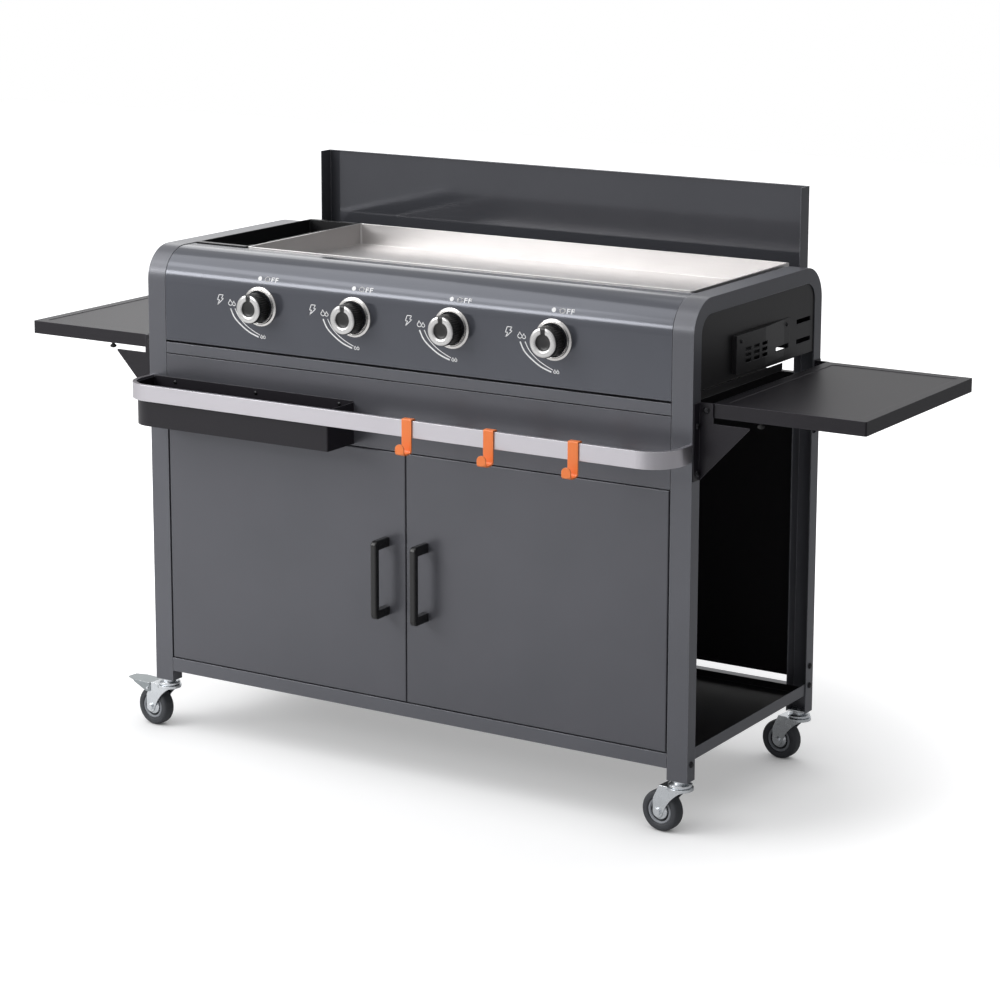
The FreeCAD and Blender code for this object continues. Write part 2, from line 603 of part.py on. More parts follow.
def make_control_panel():
    """Control panel: an upright face that rolls over into the top, with the stem holes."""
    body = new_body("control_panel_body")
    gauge = "Sizes.panel_sheet"
    inner = f"(Sizes.corner_radius - Sizes.side_gap - {gauge})"
    outer = "(Sizes.corner_radius - Sizes.side_gap)"
    profile = [
        ("Sizes.panel_lip", PANEL_FOOT),
        ("0", PANEL_FOOT),
        ("0", PANEL_TOP, outer),
        ("Sizes.panel_depth", PANEL_TOP),
        ("Sizes.panel_depth", f"{PANEL_TOP} - Sizes.panel_lip"),
        (f"Sizes.panel_depth - {gauge}", f"{PANEL_TOP} - Sizes.panel_lip"),
        (f"Sizes.panel_depth - {gauge}", f"{PANEL_TOP} - {gauge}"),
        (gauge, f"{PANEL_TOP} - {gauge}", inner),
        (gauge, f"{PANEL_FOOT} + {gauge}"),
        ("Sizes.panel_lip", f"{PANEL_FOOT} + {gauge}"),
    ]
    pad(body, "YZ", [profile], f"-{PANEL_END}", f"2 * {PANEL_END}")
    circles = [Circle(knob_place(number), KNOB_LEVEL, "Sizes.stem_hole") for number in range(KNOBS)]
    pocket(body, "XZ", circles, "0", gauge)
    low = f"{PANEL_FOOT} + Sizes.panel_lip"
    end_tabs(body, low, f"{low} + Sizes.tab_height")
    moved(body)
    keep("control_panel", body)


def channel(body, foot, top, depth):
    """Front member folded to a channel that is open to the back."""
    gauge = "Sizes.panel_sheet"
    profile = [
        ("0", foot),
        ("0", top),
        (depth, top),
        (depth, f"{top} - {gauge}"),
        (gauge, f"{top} - {gauge}"),
        (gauge, f"{foot} + {gauge}"),
        (depth, f"{foot} + {gauge}"),
        (depth, foot),
    ]
    pad(body, "YZ", [profile], f"-{PANEL_END}", f"2 * {PANEL_END}")
    middle = f"(({foot} + {top}) / 2)"
    low = f"{middle} - Sizes.tab_height / 2"
    high = f"{middle} + Sizes.tab_height / 2"
    end_tabs(body, low, high)


def make_front_members():
    """Narrow strip and fascia over the doors, and the rails under them at front and back."""
    strip = new_body("cross_strip_body")
    channel(strip, STRIP_FOOT, STRIP_TOP, "Sizes.strip_depth")
    keep("cross_strip", moved(strip))
    fascia = new_body("front_fascia_body")
    channel(fascia, FASCIA_FOOT, FASCIA_TOP, "Sizes.fascia_depth")
    circles = [
        Circle(screw, f"{CADDY_BACK_TOP} - Sizes.caddy_screw_drop", SCREW_HOLE)
        for screw in caddy_screws()
    ]
    pocket(fascia, "XZ", circles, "0", "Sizes.panel_sheet")
    keep("front_fascia", moved(fascia))
    rail = new_body("front_rail_body")
    channel(rail, RAIL_FOOT, RAIL_TOP, "Sizes.rail_depth")
    moved(rail)
    back_rail = mirror("back_rail_mirror", rail, "Sizes.frame_depth / 2")
    keep("cross_rails", bundle("cross_rails_pair", [rail, back_rail]))


def make_side_rails():
    """Side rails between the legs, each with a ledge for the cabinet floor."""
    body = new_body("side_rail_body")
    gauge = "Sizes.panel_sheet"
    profile = [
        (LEG_INSIDE, SIDE_RAIL_FOOT),
        (LEG_INSIDE, f"{SIDE_RAIL_FOOT} + Sizes.side_rail_height"),
        (f"{LEG_INSIDE} - {gauge}", f"{SIDE_RAIL_FOOT} + Sizes.side_rail_height"),
        (f"{LEG_INSIDE} - {gauge}", FLOOR_FOOT),
        (f"{LEG_INSIDE} - Sizes.ledge_width", FLOOR_FOOT),
        (f"{LEG_INSIDE} - Sizes.ledge_width", SIDE_RAIL_FOOT),
    ]
    start = "(Sizes.hoop_sheet + Sizes.panel_sheet)"
    pad(body, "XZ", [profile], start, f"{REAR} - 2 * {start}")
    holes = [
        Circle(f"{REAR} - Sizes.bolt_inset", "Sizes.foot_height + Sizes.bolt_rear_low",
               BOLT_HOLE),
    ]
    pocket(body, "YZ", holes, f"{LEG_INSIDE} - {gauge}", gauge)
    moved(body)
    keep("side_rails", bundle("side_rails_pair", [body, mirror("left_side_rail", body)]))


def make_cabinet():
    """Cabinet floor on the side rails' ledges, back panel and the heat shield over the cabinet."""
    gauge = "Sizes.panel_sheet"
    inset = f"({LEG_INSIDE} - {gauge})"
    floor = new_body("bottom_shelf_body")
    near = "(Sizes.hoop_flange + Sizes.bracket_gap)"
    far = f"({REAR} - {near})"
    outside = box_outline(f"-{inset}", near, inset, far)
    inside = box_outline(f"-{inset} + {gauge}", f"{near} + {gauge}",
                         f"{inset} - {gauge}", f"{far} - {gauge}")
    pad(floor, "XY", [outside], FLOOR_FOOT, "Sizes.floor_lip")
    pocket(floor, "XY", [inside], f"{FLOOR_FOOT} + {gauge}", "Sizes.floor_lip")
    keep("bottom_shelf", moved(floor))

    back = new_body("back_panel_body")
    foot = f"({FLOOR_FOOT} + Sizes.back_foot)"
    top = "(Sizes.deck_height - Sizes.back_drop)"
    outline = box_outline(f"-{PANEL_END}", foot, PANEL_END, top)
    pad(back, "XZ", [outline], f"{BEFORE_REAR} - {gauge}", gauge)
    for low in (f"({foot} + Sizes.tab_height)", f"({top} - 2 * Sizes.tab_height)"):
        end_tabs(back, low, f"{low} + Sizes.tab_height",
                 f"{BEFORE_REAR} - {gauge} - Sizes.tab_length")
    for edge in (foot, f"{top} - {gauge}"):
        fold = box_outline(f"-{PANEL_END}", edge, PANEL_END, f"{edge} + {gauge}")
        pad(back, "XZ", [fold], f"{BEFORE_REAR} - Sizes.floor_lip", f"Sizes.floor_lip - {gauge}")
    keep("back_panel", moved(back))

    shield = new_body("heat_shield_body")
    top = "(Sizes.deck_height - Sizes.shield_drop)"
    near = "Sizes.strip_depth"
    step = "(Sizes.hoop_flange + Sizes.bracket_gap)"
    far = f"({near} + Sizes.shield_depth)"
    plan = [
        (f"-{inset}", step), (f"-{PANEL_END}", step), (f"-{PANEL_END}", near), (PANEL_END, near),
        (PANEL_END, step), (inset, step), (inset, far), (f"-{inset}", far),
    ]
    hose = Circle(f"({knob_place(KNOBS - 1)} + Sizes.manifold_end + Sizes.inlet_length"
                  " + Sizes.hose_hole_out)", "Sizes.hose_hole_back", "Sizes.hose_hole")
    pad(shield, "XY", [plan, hose], f"{top} - {gauge}", gauge)
    # front and back edges turn down, the two ends turn up
    for edge in (near, f"{far} - {gauge}"):
        fold = box_outline(f"-{PANEL_END}", edge, PANEL_END, f"{edge} + {gauge}")
        pad(shield, "XY", [fold], f"{top} - Sizes.shield_lip", f"Sizes.shield_lip - {gauge}")
    for left, right in ((f"-{inset}", f"-{inset} + {gauge}"), (f"{inset} - {gauge}", inset)):
        pad(shield, "XY", [box_outline(left, step, right, far)], top, "Sizes.shield_lip")
    keep("heat_shield", moved(shield))


def make_doors():
    """Right-hand door and pull, their mirror images, the hinge pins and the magnet catch."""
    gauge = "Sizes.panel_sheet"
    door = new_body("right_door_body")
    meeting = "(Sizes.door_meeting_gap / 2)"
    face = pad(door, "XZ", [box_outline(meeting, DOOR_FOOT, DOOR_EDGE, DOOR_TOP)], "0",
               "Sizes.door_depth")
    rounded(door, face, "Sizes.door_edge_radius", lambda box: abs(box.YMax) < TINY)
    inside = box_outline(f"{meeting} + {gauge}", f"{DOOR_FOOT} + {gauge}",
                         f"{DOOR_EDGE} - {gauge}", f"{DOOR_TOP} - {gauge}")
    pocket(door, "XZ", [inside], gauge, f"Sizes.door_depth - {gauge}")
    flange = "(Sizes.door_flange)"
    window = box_outline(f"{meeting} + {flange}", f"{DOOR_FOOT} + {flange}",
                         f"{DOOR_EDGE} - {flange}", f"{DOOR_TOP} - {flange}")
    outside = box_outline(meeting, DOOR_FOOT, DOOR_EDGE, DOOR_TOP)
    pad(door, "XZ", [outside, window], f"Sizes.door_depth - {gauge}", gauge)
    pin_across = f"({DOOR_EDGE} - Sizes.pivot_inset)"
    hole = Circle(pin_across, "Sizes.pivot_depth", "Sizes.hinge_pin_radius + Sizes.running_gap")
    pocket(door, "XY", [hole], DOOR_FOOT, gauge)
    pocket(door, "XY", [hole], f"{DOOR_TOP} - {gauge}", gauge)
    moved(door)
    keep("right_door", door)
    keep("left_door", mirror("left_door_mirror", door))

    pull = new_body("right_handle_body")
    middle = f"(({DOOR_FOOT} + {DOOR_TOP}) / 2)"
    foot = f"({middle} - Sizes.handle_height / 2)"
    top = f"({middle} + Sizes.handle_height / 2)"
    reach = "(0 - Sizes.handle_reach)"
    profile = [
        ("0", foot),
        ("0", f"{foot} + Sizes.handle_arm"),
        (f"{reach} + Sizes.handle_bar", f"{foot} + Sizes.handle_arm"),
        (f"{reach} + Sizes.handle_bar", f"{top} - Sizes.handle_arm"),
        ("0", f"{top} - Sizes.handle_arm"),
        ("0", top),
        (reach, top, "Sizes.handle_bar"),
        (reach, foot, "Sizes.handle_bar"),
    ]
    bar = pad(pull, "YZ", [profile], "Sizes.handle_offset - Sizes.handle_width / 2",
              "Sizes.handle_width")
    front = TINY - value("Sizes.handle_reach")
    rounded(
        pull, bar, "Sizes.handle_radius",
        lambda box: box.YMin < front and box.XLength < TINY,
    )
    moved(pull)
    keep("right_handle", pull)
    keep("left_handle", mirror("left_handle_mirror", pull))

    pin = document.addObject("Part::Cylinder", "hinge_pin")
    pin.setExpression("Radius", "Sizes.hinge_pin_radius")
    pin.setExpression("Height", "Sizes.hinge_pin_reach")
    places = []
    for side in ("", "-"):
        for level in (RAIL_TOP, f"{FASCIA_FOOT} - Sizes.hinge_pin_reach"):
            places.append((f"{side}{pin_across}", "Sizes.pivot_depth", level, None))
    keep("door_hinge_pins", bundle("hinge_pin_set", copies("hinge_pin_at", pin, places)))

    catch = new_body("door_catch_body")
    near = "(Sizes.door_depth + Sizes.catch_gap)"
    pad(catch, "XZ",
        [box_outline("0 - Sizes.catch_width / 2", f"{FASCIA_FOOT} - Sizes.door_flange",
                     "Sizes.catch_width / 2", FASCIA_FOOT)],
        near, f"Sizes.fascia_depth - {near}")
    keep("door_catch", moved(catch))


def make_firebox():
    """Firebox: side walls that fill the hoops, cross walls, a seat for the plate, a partition."""
    body = new_body("firebox_body")
    gauge = "Sizes.firebox_sheet"
    round_top = "(Sizes.corner_radius - Sizes.hoop_sheet)"
    under_deck = "(Sizes.deck_height - Sizes.hoop_sheet)"
    side = [
        (BEHIND_LEG, FIREBOX_FOOT),
        (BEHIND_LEG, under_deck, round_top),
        (BEFORE_REAR, under_deck, round_top),
        (BEFORE_REAR, FIREBOX_FOOT),
    ]
    # a seat with an opening under the plate and one under the grease tray
    seat_foot = f"({SEAT_TOP} - {gauge})"
    front = "Sizes.firebox_front"
    partition = f"({PLATE_LEFT} - Sizes.partition_inset)"
    edge = "Sizes.seat_width"
    under_plate = box_outline(f"{partition} + {edge}", f"{front} + {edge}",
                              f"{SIDE_WALL} - 4 * {edge}", f"{FIREBOX_REAR} - {edge}")
    under_tray = box_outline(f"-{SIDE_WALL} + 4 * {edge}", f"{front} + {edge}",
                             f"{partition} - {edge}", f"{FIREBOX_REAR} - {edge}")
    seat = box_outline(f"-{SIDE_WALL}", front, SIDE_WALL, FIREBOX_REAR)
    pad(body, "XY", [seat, under_plate, under_tray], seat_foot, gauge)
    for start in (front, f"{FIREBOX_REAR} - {gauge}"):
        wall = box_outline(f"-{SIDE_WALL}", FIREBOX_FOOT, SIDE_WALL, seat_foot)
        pad(body, "XZ", [wall], start, gauge)
    wall = box_outline(front, FIREBOX_FOOT, FIREBOX_REAR, seat_foot)
    pad(body, "YZ", [wall], partition, gauge)
    for start in (f"-{LEG_INSIDE}", SIDE_WALL):
        pad(body, "YZ", [side], start, gauge)
    # round holes for the burners in the front wall
    holes = [
        Circle(knob_place(number), KNOB_LEVEL, "Sizes.burner_radius + Sizes.front_gap / 4")
        for number in range(KNOBS)
    ]
    pocket(body, "XZ", holes, front, gauge)
    # long air slots near the back of both side walls
    length = "Sizes.vent_length"
    back = f"({REAR} - Sizes.vent_back - {length})"
    level = "(Sizes.deck_height - Sizes.vent_top - Sizes.vent_height)"
    lower = f"({level} - Sizes.vent_pitch)"
    slots = [
        box_outline(back, level, f"{back} + {length}", f"{level} + Sizes.vent_height"),
        box_outline(back, lower, f"{back} + {length}", f"{lower} + Sizes.vent_height"),
        third_slot(),
    ]
    for start in (f"-{LEG_INSIDE}", SIDE_WALL):
        pocket(body, "YZ", slots, start, gauge)
    screws = [Circle(back, COVER_SCREW_LEVEL, SCREW_HOLE) for back in cover_screws()]
    for start in (f"-{LEG_INSIDE}", SIDE_WALL):
        pocket(body, "YZ", screws[1:], start, gauge)
    keep("firebox", moved(body))


def third_slot():
    """Outline of the air slot that runs through both the vent cover and the side wall."""
    level = "(Sizes.deck_height - Sizes.vent_top - Sizes.vent_height - Sizes.vent_pitch)"
    back = f"({REAR} - Sizes.vent_back - Sizes.vent_length - Sizes.vent_step)"
    return box_outline(back, level, f"{back} + Sizes.vent_length",
                       f"{level} + Sizes.vent_height")


def cover_screws():
    """Places of a vent cover's screws, front to back."""
    return [
        "(Sizes.cover_front + 1.5 * Sizes.cover_screw_inset)",
        f"({COVER_BACK} - Sizes.cover_screw_inset)",
    ]


def make_vent_covers():
    """Vent covers on both side walls: a wedge with nine small slots, open underneath."""
    body = new_body("vent_cover_body")
    foot = COVER_FOOT
    near = "Sizes.cover_front"
    far = COVER_BACK
    gauge = "Sizes.panel_sheet"
    base = LEG_INSIDE
    crown = f"({LEG_INSIDE} + Sizes.cover_rise)"
    wedge = [
        (base, near),
        (crown, near),
        (crown, f"{near} + Sizes.cover_length / 2"),
        (f"{base} + {gauge}", f"{far} - 2 * Sizes.cover_screw_inset"),
        (f"{base} + {gauge}", far),
        (base, far),
    ]
    hollow = [
        (base, f"{near} + {gauge}"),
        (f"{crown} - {gauge}", f"{near} + {gauge}"),
        (f"{crown} - {gauge}", f"{near} + Sizes.cover_length / 2 - {gauge}"),
        (base, f"{far} - 3 * Sizes.cover_screw_inset"),
    ]
    pad(body, "XY", [wedge], foot, "Sizes.cover_height")
    pocket(body, "XY", [hollow], foot, f"Sizes.cover_height - {gauge}")
    slots = [third_slot()]
    for column in range(3):
        start = f"({near} + Sizes.cover_slot_start + {column} * Sizes.cover_slot_pitch)"
        for line in range(3):
            level = f"({foot} + Sizes.cover_slot_foot + {line} * Sizes.cover_slot_rise)"
            slots.append(box_outline(start, level, f"{start} + Sizes.cover_slot_length",
                                     f"{level} + Sizes.cover_slot_height"))
    pocket(body, "YZ", slots, base, "Sizes.cover_rise")
    screws = [Circle(back, COVER_SCREW_LEVEL, SCREW_HOLE) for back in cover_screws()]
    pocket(body, "YZ", screws, base, "Sizes.cover_rise")
    moved(body)
    keep("vent_covers", bundle("vent_cover_pair", [body, mirror("left_vent_cover", body)]))


def make_plate():
    """Cooking plate: a deep-rimmed tray with a drain slot, and its levelling feet."""
    body = new_body("griddle_plate_body")
    wall = "Sizes.plate_wall"
    near = "Sizes.plate_front"
    far = f"({near} + Sizes.plate_depth)"
    height = "(Sizes.plate_height + Sizes.plate_floor)"
    outside = box_outline(PLATE_LEFT, near, PLATE_RIGHT, far, "Sizes.plate_corner")
    inside = box_outline(f"{PLATE_LEFT} + {wall}", f"{near} + {wall}",
                         f"{PLATE_RIGHT} - {wall}", f"{far} - {wall}",
                         f"(Sizes.plate_corner - {wall} / 2)")
    pad(body, "XY", [outside], PLATE_FOOT, height)
    pocket(body, "XY", [inside], f"{PLATE_FOOT} + Sizes.plate_floor", "Sizes.plate_height")
    floor = f"({PLATE_FOOT} + Sizes.plate_floor)"
    drain = f"({near} + 2 * Sizes.seat_width)"
    slot = box_outline(drain, floor, f"{drain} + Sizes.drain_width",
                       f"{floor} + Sizes.drain_height")
    pocket(body, "YZ", [slot], PLATE_LEFT, wall)
    keep("griddle_plate", moved(body))

    foot = document.addObject("Part::Cylinder", "plate_foot")
    foot.setExpression("Radius", "Sizes.plate_foot_radius")
    foot.setExpression("Height", "Sizes.plate_foot_height")
    places = []
    for across in (f"{PLATE_LEFT} + Sizes.plate_foot_radius", f"{SIDE_WALL} - 4.5 * Sizes.seat_width"):
        for back in ("Sizes.firebox_front + Sizes.seat_width / 2",
                     f"{FIREBOX_REAR} - Sizes.seat_width / 2"):
            places.append((across, back, SEAT_TOP, None))
    keep("plate_feet", bundle("plate_foot_set", copies("plate_foot_at", foot, places)))


def make_grease_tray():
    """Grease tray beside the plate: a deep lift-out trough with a rim at front and back."""
    body = new_body("grease_tray_body")
    gauge = "Sizes.tray_sheet"
    left = f"(-{LEG_EDGE} + Sizes.tray_side_gap)"
    right = f"({PLATE_LEFT} - Sizes.tray_plate_gap)"
    near = "(Sizes.plate_front + Sizes.tray_lip)"
    far = "(Sizes.plate_front + Sizes.plate_depth - Sizes.tray_lip)"
    height = f"({RIM_TOP} - {SEAT_TOP})"
    outside = box_outline(left, near, right, far, "Sizes.tray_corner")
    inside = box_outline(f"{left} + {gauge}", f"{near} + {gauge}", f"{right} - {gauge}",
                         f"{far} - {gauge}", f"(Sizes.tray_corner - {gauge})")
    pad(body, "XY", [outside], SEAT_TOP, height)
    rim = box_outline(left, f"{near} - Sizes.tray_lip", right, f"{far} + Sizes.tray_lip")
    pad(body, "XY", [rim], f"{RIM_TOP} - {gauge}", gauge)
    pocket(body, "XY", [inside], f"{SEAT_TOP} + {gauge}", height)
    # a notch with a drip tongue faces the drain slot of the plate
    level = f"({PLATE_FOOT} + Sizes.plate_floor - Sizes.tongue_drop)"
    drain = "(Sizes.plate_front + 2 * Sizes.seat_width)"
    notch = box_outline(drain, level, f"{drain} + Sizes.drain_width", RIM_TOP)
    pocket(body, "YZ", [notch], f"{right} - {gauge}", gauge)
    tongue = box_outline(f"{right} - {gauge}", drain, f"{PLATE_LEFT} - Sizes.tongue_gap",
                         f"{drain} + Sizes.drain_width")
    pad(body, "XY", [tongue], f"{level} - {gauge}", gauge)
    keep("grease_tray", moved(body))


def make_gas_train():
    """Square gas pipe with its inlet, four valves with jets, burners and igniter electrodes."""
    pipe = new_body("gas_manifold_body")
    size = "Sizes.manifold_size"
    near = f"(Sizes.valve_front + Sizes.valve_length / 2 - {size} / 2)"
    left = f"({knob_place(0)} - Sizes.manifold_end)"
    right = f"({knob_place(KNOBS - 1)} + Sizes.manifold_end)"
    foot = f"({MANIFOLD_TOP} - {size})"
    pad(pipe, "YZ", [box_outline(near, foot, f"{near} + {size}", MANIFOLD_TOP)], left,
        f"{right} - {left}")
    # two brackets hold the pipe to the back of the control panel
    for across in (f"({left} + {size})", f"({right} - 2 * {size})"):
        bracket = box_outline(across, f"{foot} + Sizes.front_gap", f"{across} + {size}",
                              f"{MANIFOLD_TOP} - Sizes.front_gap")
        pad(pipe, "XZ", [bracket], "Sizes.panel_sheet", f"{near} - Sizes.panel_sheet")
    hollow = box_outline(f"{near} + Sizes.manifold_wall", f"{foot} + Sizes.manifold_wall",
                         f"{near} + {size} - Sizes.manifold_wall",
                         f"{MANIFOLD_TOP} - Sizes.manifold_wall")
    pocket(pipe, "YZ", [hollow], f"{left} + Sizes.manifold_wall",
           f"{right} - {left} - 2 * Sizes.manifold_wall")
    middle = f"({near} + {size} / 2)"
    centre = f"({foot} + {size} / 2)"
    inlet = [
        Circle(middle, centre, "Sizes.inlet_radius"),
        Circle(middle, centre, "Sizes.inlet_radius - Sizes.manifold_wall"),
    ]
    pad(pipe, "YZ", inlet, right, "Sizes.inlet_length")
    keep("gas_manifold", moved(pipe))

    valve = new_body("gas_valve_body")
    wide = "(Sizes.valve_width / 2)"
    block = box_outline(f"-{wide}", "0 - Sizes.valve_drop", wide, f"{wide}", "Sizes.front_gap")
    pad(valve, "XZ", [block], "Sizes.valve_front", "Sizes.valve_length")
    boss = Circle("0", "0", "2 * Sizes.stem_radius")
    boss_start = "Sizes.knob_travel"
    pad(valve, "XZ", [boss], boss_start, f"Sizes.valve_front - {boss_start}")
    jet = Circle("0", "0", "Sizes.nozzle_radius")
    pad(valve, "XZ", [jet], "Sizes.valve_front + Sizes.valve_length", "Sizes.nozzle_length")
    bore = Circle("0", "0", "Sizes.stem_radius + Sizes.running_gap")
    depth = "(Sizes.valve_length / 2 + Sizes.knob_travel + Sizes.valve_front)"
    pocket(valve, "XZ", [bore], boss_start, depth)
    places = [(knob_place(number), "0", KNOB_LEVEL, None) for number in range(KNOBS)]
    keep("gas_valves", bundle("gas_valve_set", copies("gas_valve_at", valve, places)))

    burner = new_body("burner_body")
    start = "Sizes.burner_start"
    tube = [Circle("0", "0", "Sizes.burner_radius")]
    reach = f"({FIREBOX_REAR} - Sizes.firebox_sheet)"
    pad(burner, "XZ", tube, start, f"{reach} - {start}")
    bore = Circle("0", "0", "Sizes.burner_radius - Sizes.burner_wall")
    pocket(burner, "XZ", [bore], start, f"{reach} - {start} - 2 * Sizes.burner_wall")
    first = "(Sizes.firebox_front + 2 * Sizes.burner_port_pitch)"
    slots = []
    for number in range(11):
        near = f"({first} + {number} * Sizes.burner_port_pitch)"
        slots.append(box_outline("0 - Sizes.burner_radius", near, "Sizes.burner_radius",
                                 f"{near} + Sizes.burner_port_width"))
    pocket(burner, "XY", slots, "Sizes.burner_radius / 2", "Sizes.burner_radius")
    keep("burner_tubes", bundle("burner_set", copies("burner_at", burner, places)))

    electrode = new_body("electrode_body")
    collar = Circle("0", "0", "Sizes.electrode_radius")
    wire = Circle("0", "0", "Sizes.electrode_radius / 3")
    wall = "(Sizes.firebox_front + Sizes.firebox_sheet)"
    pad(electrode, "XZ", [collar], wall, "Sizes.electrode_length * 0.6")
    pad(electrode, "XZ", [wire], f"{wall} + Sizes.electrode_length * 0.6",
        "Sizes.electrode_length * 0.4")
    places = [
        (f"{knob_place(number)} + 2 * Sizes.burner_radius", "0", KNOB_LEVEL, None)
        for number in range(KNOBS)
    ]
    keep("igniter_electrodes", bundle("electrode_set", copies("electrode_at", electrode, places)))


def make_knobs():
    """Knobs with a bright ring and pointer slot, their stems, and the bezels on the panel."""
    knob = new_body("knob_master")
    back = "(0 - Sizes.knob_back)"
    front = "(0 - Sizes.knob_back - Sizes.knob_length)"
    profile = [
        ("0", back),
        ("0", front),
        ("Sizes.knob_radius - Sizes.flute_radius", front),
        ("Sizes.knob_radius", f"{front} + Sizes.flute_radius"),
        ("Sizes.knob_radius", back),
    ]
    turned(knob, "XY", profile)
    flute = pocket(knob, "XZ", [Circle("Sizes.knob_radius", "0", "Sizes.flute_radius")],
                   f"{front} + 3 * Sizes.flute_radius",
                   "Sizes.knob_length - 3 * Sizes.flute_radius")
    document.recompute()
    flutes = knob.newObject("PartDesign::PolarPattern", "knob_flutes")
    flutes.Originals = [flute]
    axis = [item for item in knob.Origin.OriginFeatures if item.Role == "Y_Axis"]
    flutes.Axis = (axis[0], [""])
    flutes.Angle = 360
    flutes.Occurrences = FLUTES
    knob.Tip = flutes
    bore = Circle("0", "0", "Sizes.stem_radius + Sizes.running_gap")
    pocket(knob, "XZ", [bore], f"{back} - 2 * Sizes.knob_length / 3", "Sizes.knob_length")

    ring = new_body("knob_ring_master")
    outer = "(Sizes.knob_radius - Sizes.flute_radius)"
    outlines = [Circle("0", "0", outer), Circle("0", "0", "Sizes.knob_cap_radius")]
    pad(ring, "XZ", outlines, f"{front} - Sizes.knob_ring_rise", "Sizes.knob_ring_rise")
    slot = box_outline("0 - Sizes.pointer_width / 2", "0", "Sizes.pointer_width / 2",
                       "Sizes.knob_radius")
    pocket(ring, "XZ", [slot], f"{front} - Sizes.knob_ring_rise", "Sizes.knob_ring_rise")
    whole = bundle("knob_whole", [knob, ring])

    stem = new_body("valve_stem_master")
    tip = f"({back} - 2 * Sizes.knob_length / 3)"
    inner_end = "(Sizes.valve_front + Sizes.valve_length / 2)"
    pad(stem, "XZ", [Circle("0", "0", "Sizes.stem_radius")], tip, f"{inner_end} - {tip}")
    collar_gap = "Sizes.bracket_gap"
    pad(stem, "XZ", [Circle("0", "0", "Sizes.stem_collar")], f"{back} + {collar_gap}",
        "Sizes.panel_sheet")

    bezel = new_body("bezel_master")
    rise = "(0 - Sizes.bezel_rise)"
    step = "(Sizes.bezel_radius - Sizes.bezel_step_radius)"
    profile = [
        ("Sizes.bezel_bore", "0"),
        ("Sizes.bezel_radius", "0"),
        ("Sizes.bezel_radius", f"{rise} / 3"),
        ("Sizes.bezel_step_radius", f"{rise} / 2"),
        (f"Sizes.bezel_step_radius - {step} / 3", rise),
        (f"Sizes.bezel_bore + {step} / 2", rise),
        ("Sizes.bezel_bore", f"{rise} + {step} / 3"),
    ]
    turned(bezel, "XY", profile)

    places = [(knob_place(number), "0", KNOB_LEVEL, None) for number in range(KNOBS)]
    for number, piece in enumerate(copies("knob_at", whole, places), start=1):
        keep(f"knob_{number}", piece)
    for number, piece in enumerate(copies("stem_at", stem, places), start=1):
        keep(f"valve_stem_{number}", piece)
    keep("knob_bezels", bundle("bezel_set", copies("bezel_at", bezel, places)))


def make_backsplash():
    """Wind guard: a back sheet with side wings, a hemmed top and feet on the rear legs."""
    body = new_body("backsplash_body")
    gauge = "Sizes.panel_sheet"
    half = "(Sizes.splash_width / 2)"
    near = f"({SPLASH_BACK} - Sizes.splash_wing)"
    foot = "(Sizes.deck_height - Sizes.splash_drop)"
    height = "(Sizes.splash_rise + Sizes.splash_drop)"
    plan = [
        (f"-{half}", near),
        (f"-{half}", SPLASH_BACK),
        (half, SPLASH_BACK),
        (half, near),
        (f"{half} - {gauge}", near),
        (f"{half} - {gauge}", f"{SPLASH_BACK} - {gauge}"),
        (f"-{half} + {gauge}", f"{SPLASH_BACK} - {gauge}"),
        (f"-{half} + {gauge}", near),
    ]
    pad(body, "XY", [plan], foot, height)
    hem = box_outline(f"-{half}", f"{SPLASH_BACK} - Sizes.splash_hem", half, SPLASH_BACK)
    pad(body, "XY", [hem], f"{foot} + {height} - {gauge}", gauge)
    # feet: the wings run on to the rear legs and turn sideways over them
    for side in ("-", ""):
        inner = f"({half} - {gauge})"
        outer = f"({LEG_EDGE} + Sizes.splash_foot)"
        edges = sorted([f"{side}{inner}", f"{side}{half}"], key=value)
        low = f"{foot} + Sizes.front_gap"
        high = f"{foot} + Sizes.splash_drop - Sizes.corner_radius"
        web = box_outline(edges[0], low, edges[1], high)
        pad(body, "XZ", [web], REAR, f"{near} - {REAR} + {gauge}")
        edges = sorted([f"{side}{inner}", f"{side}{outer}"], key=value)
        pad(body, "XZ", [box_outline(edges[0], low, edges[1], high)], REAR, gauge)
    keep("backsplash", moved(body))


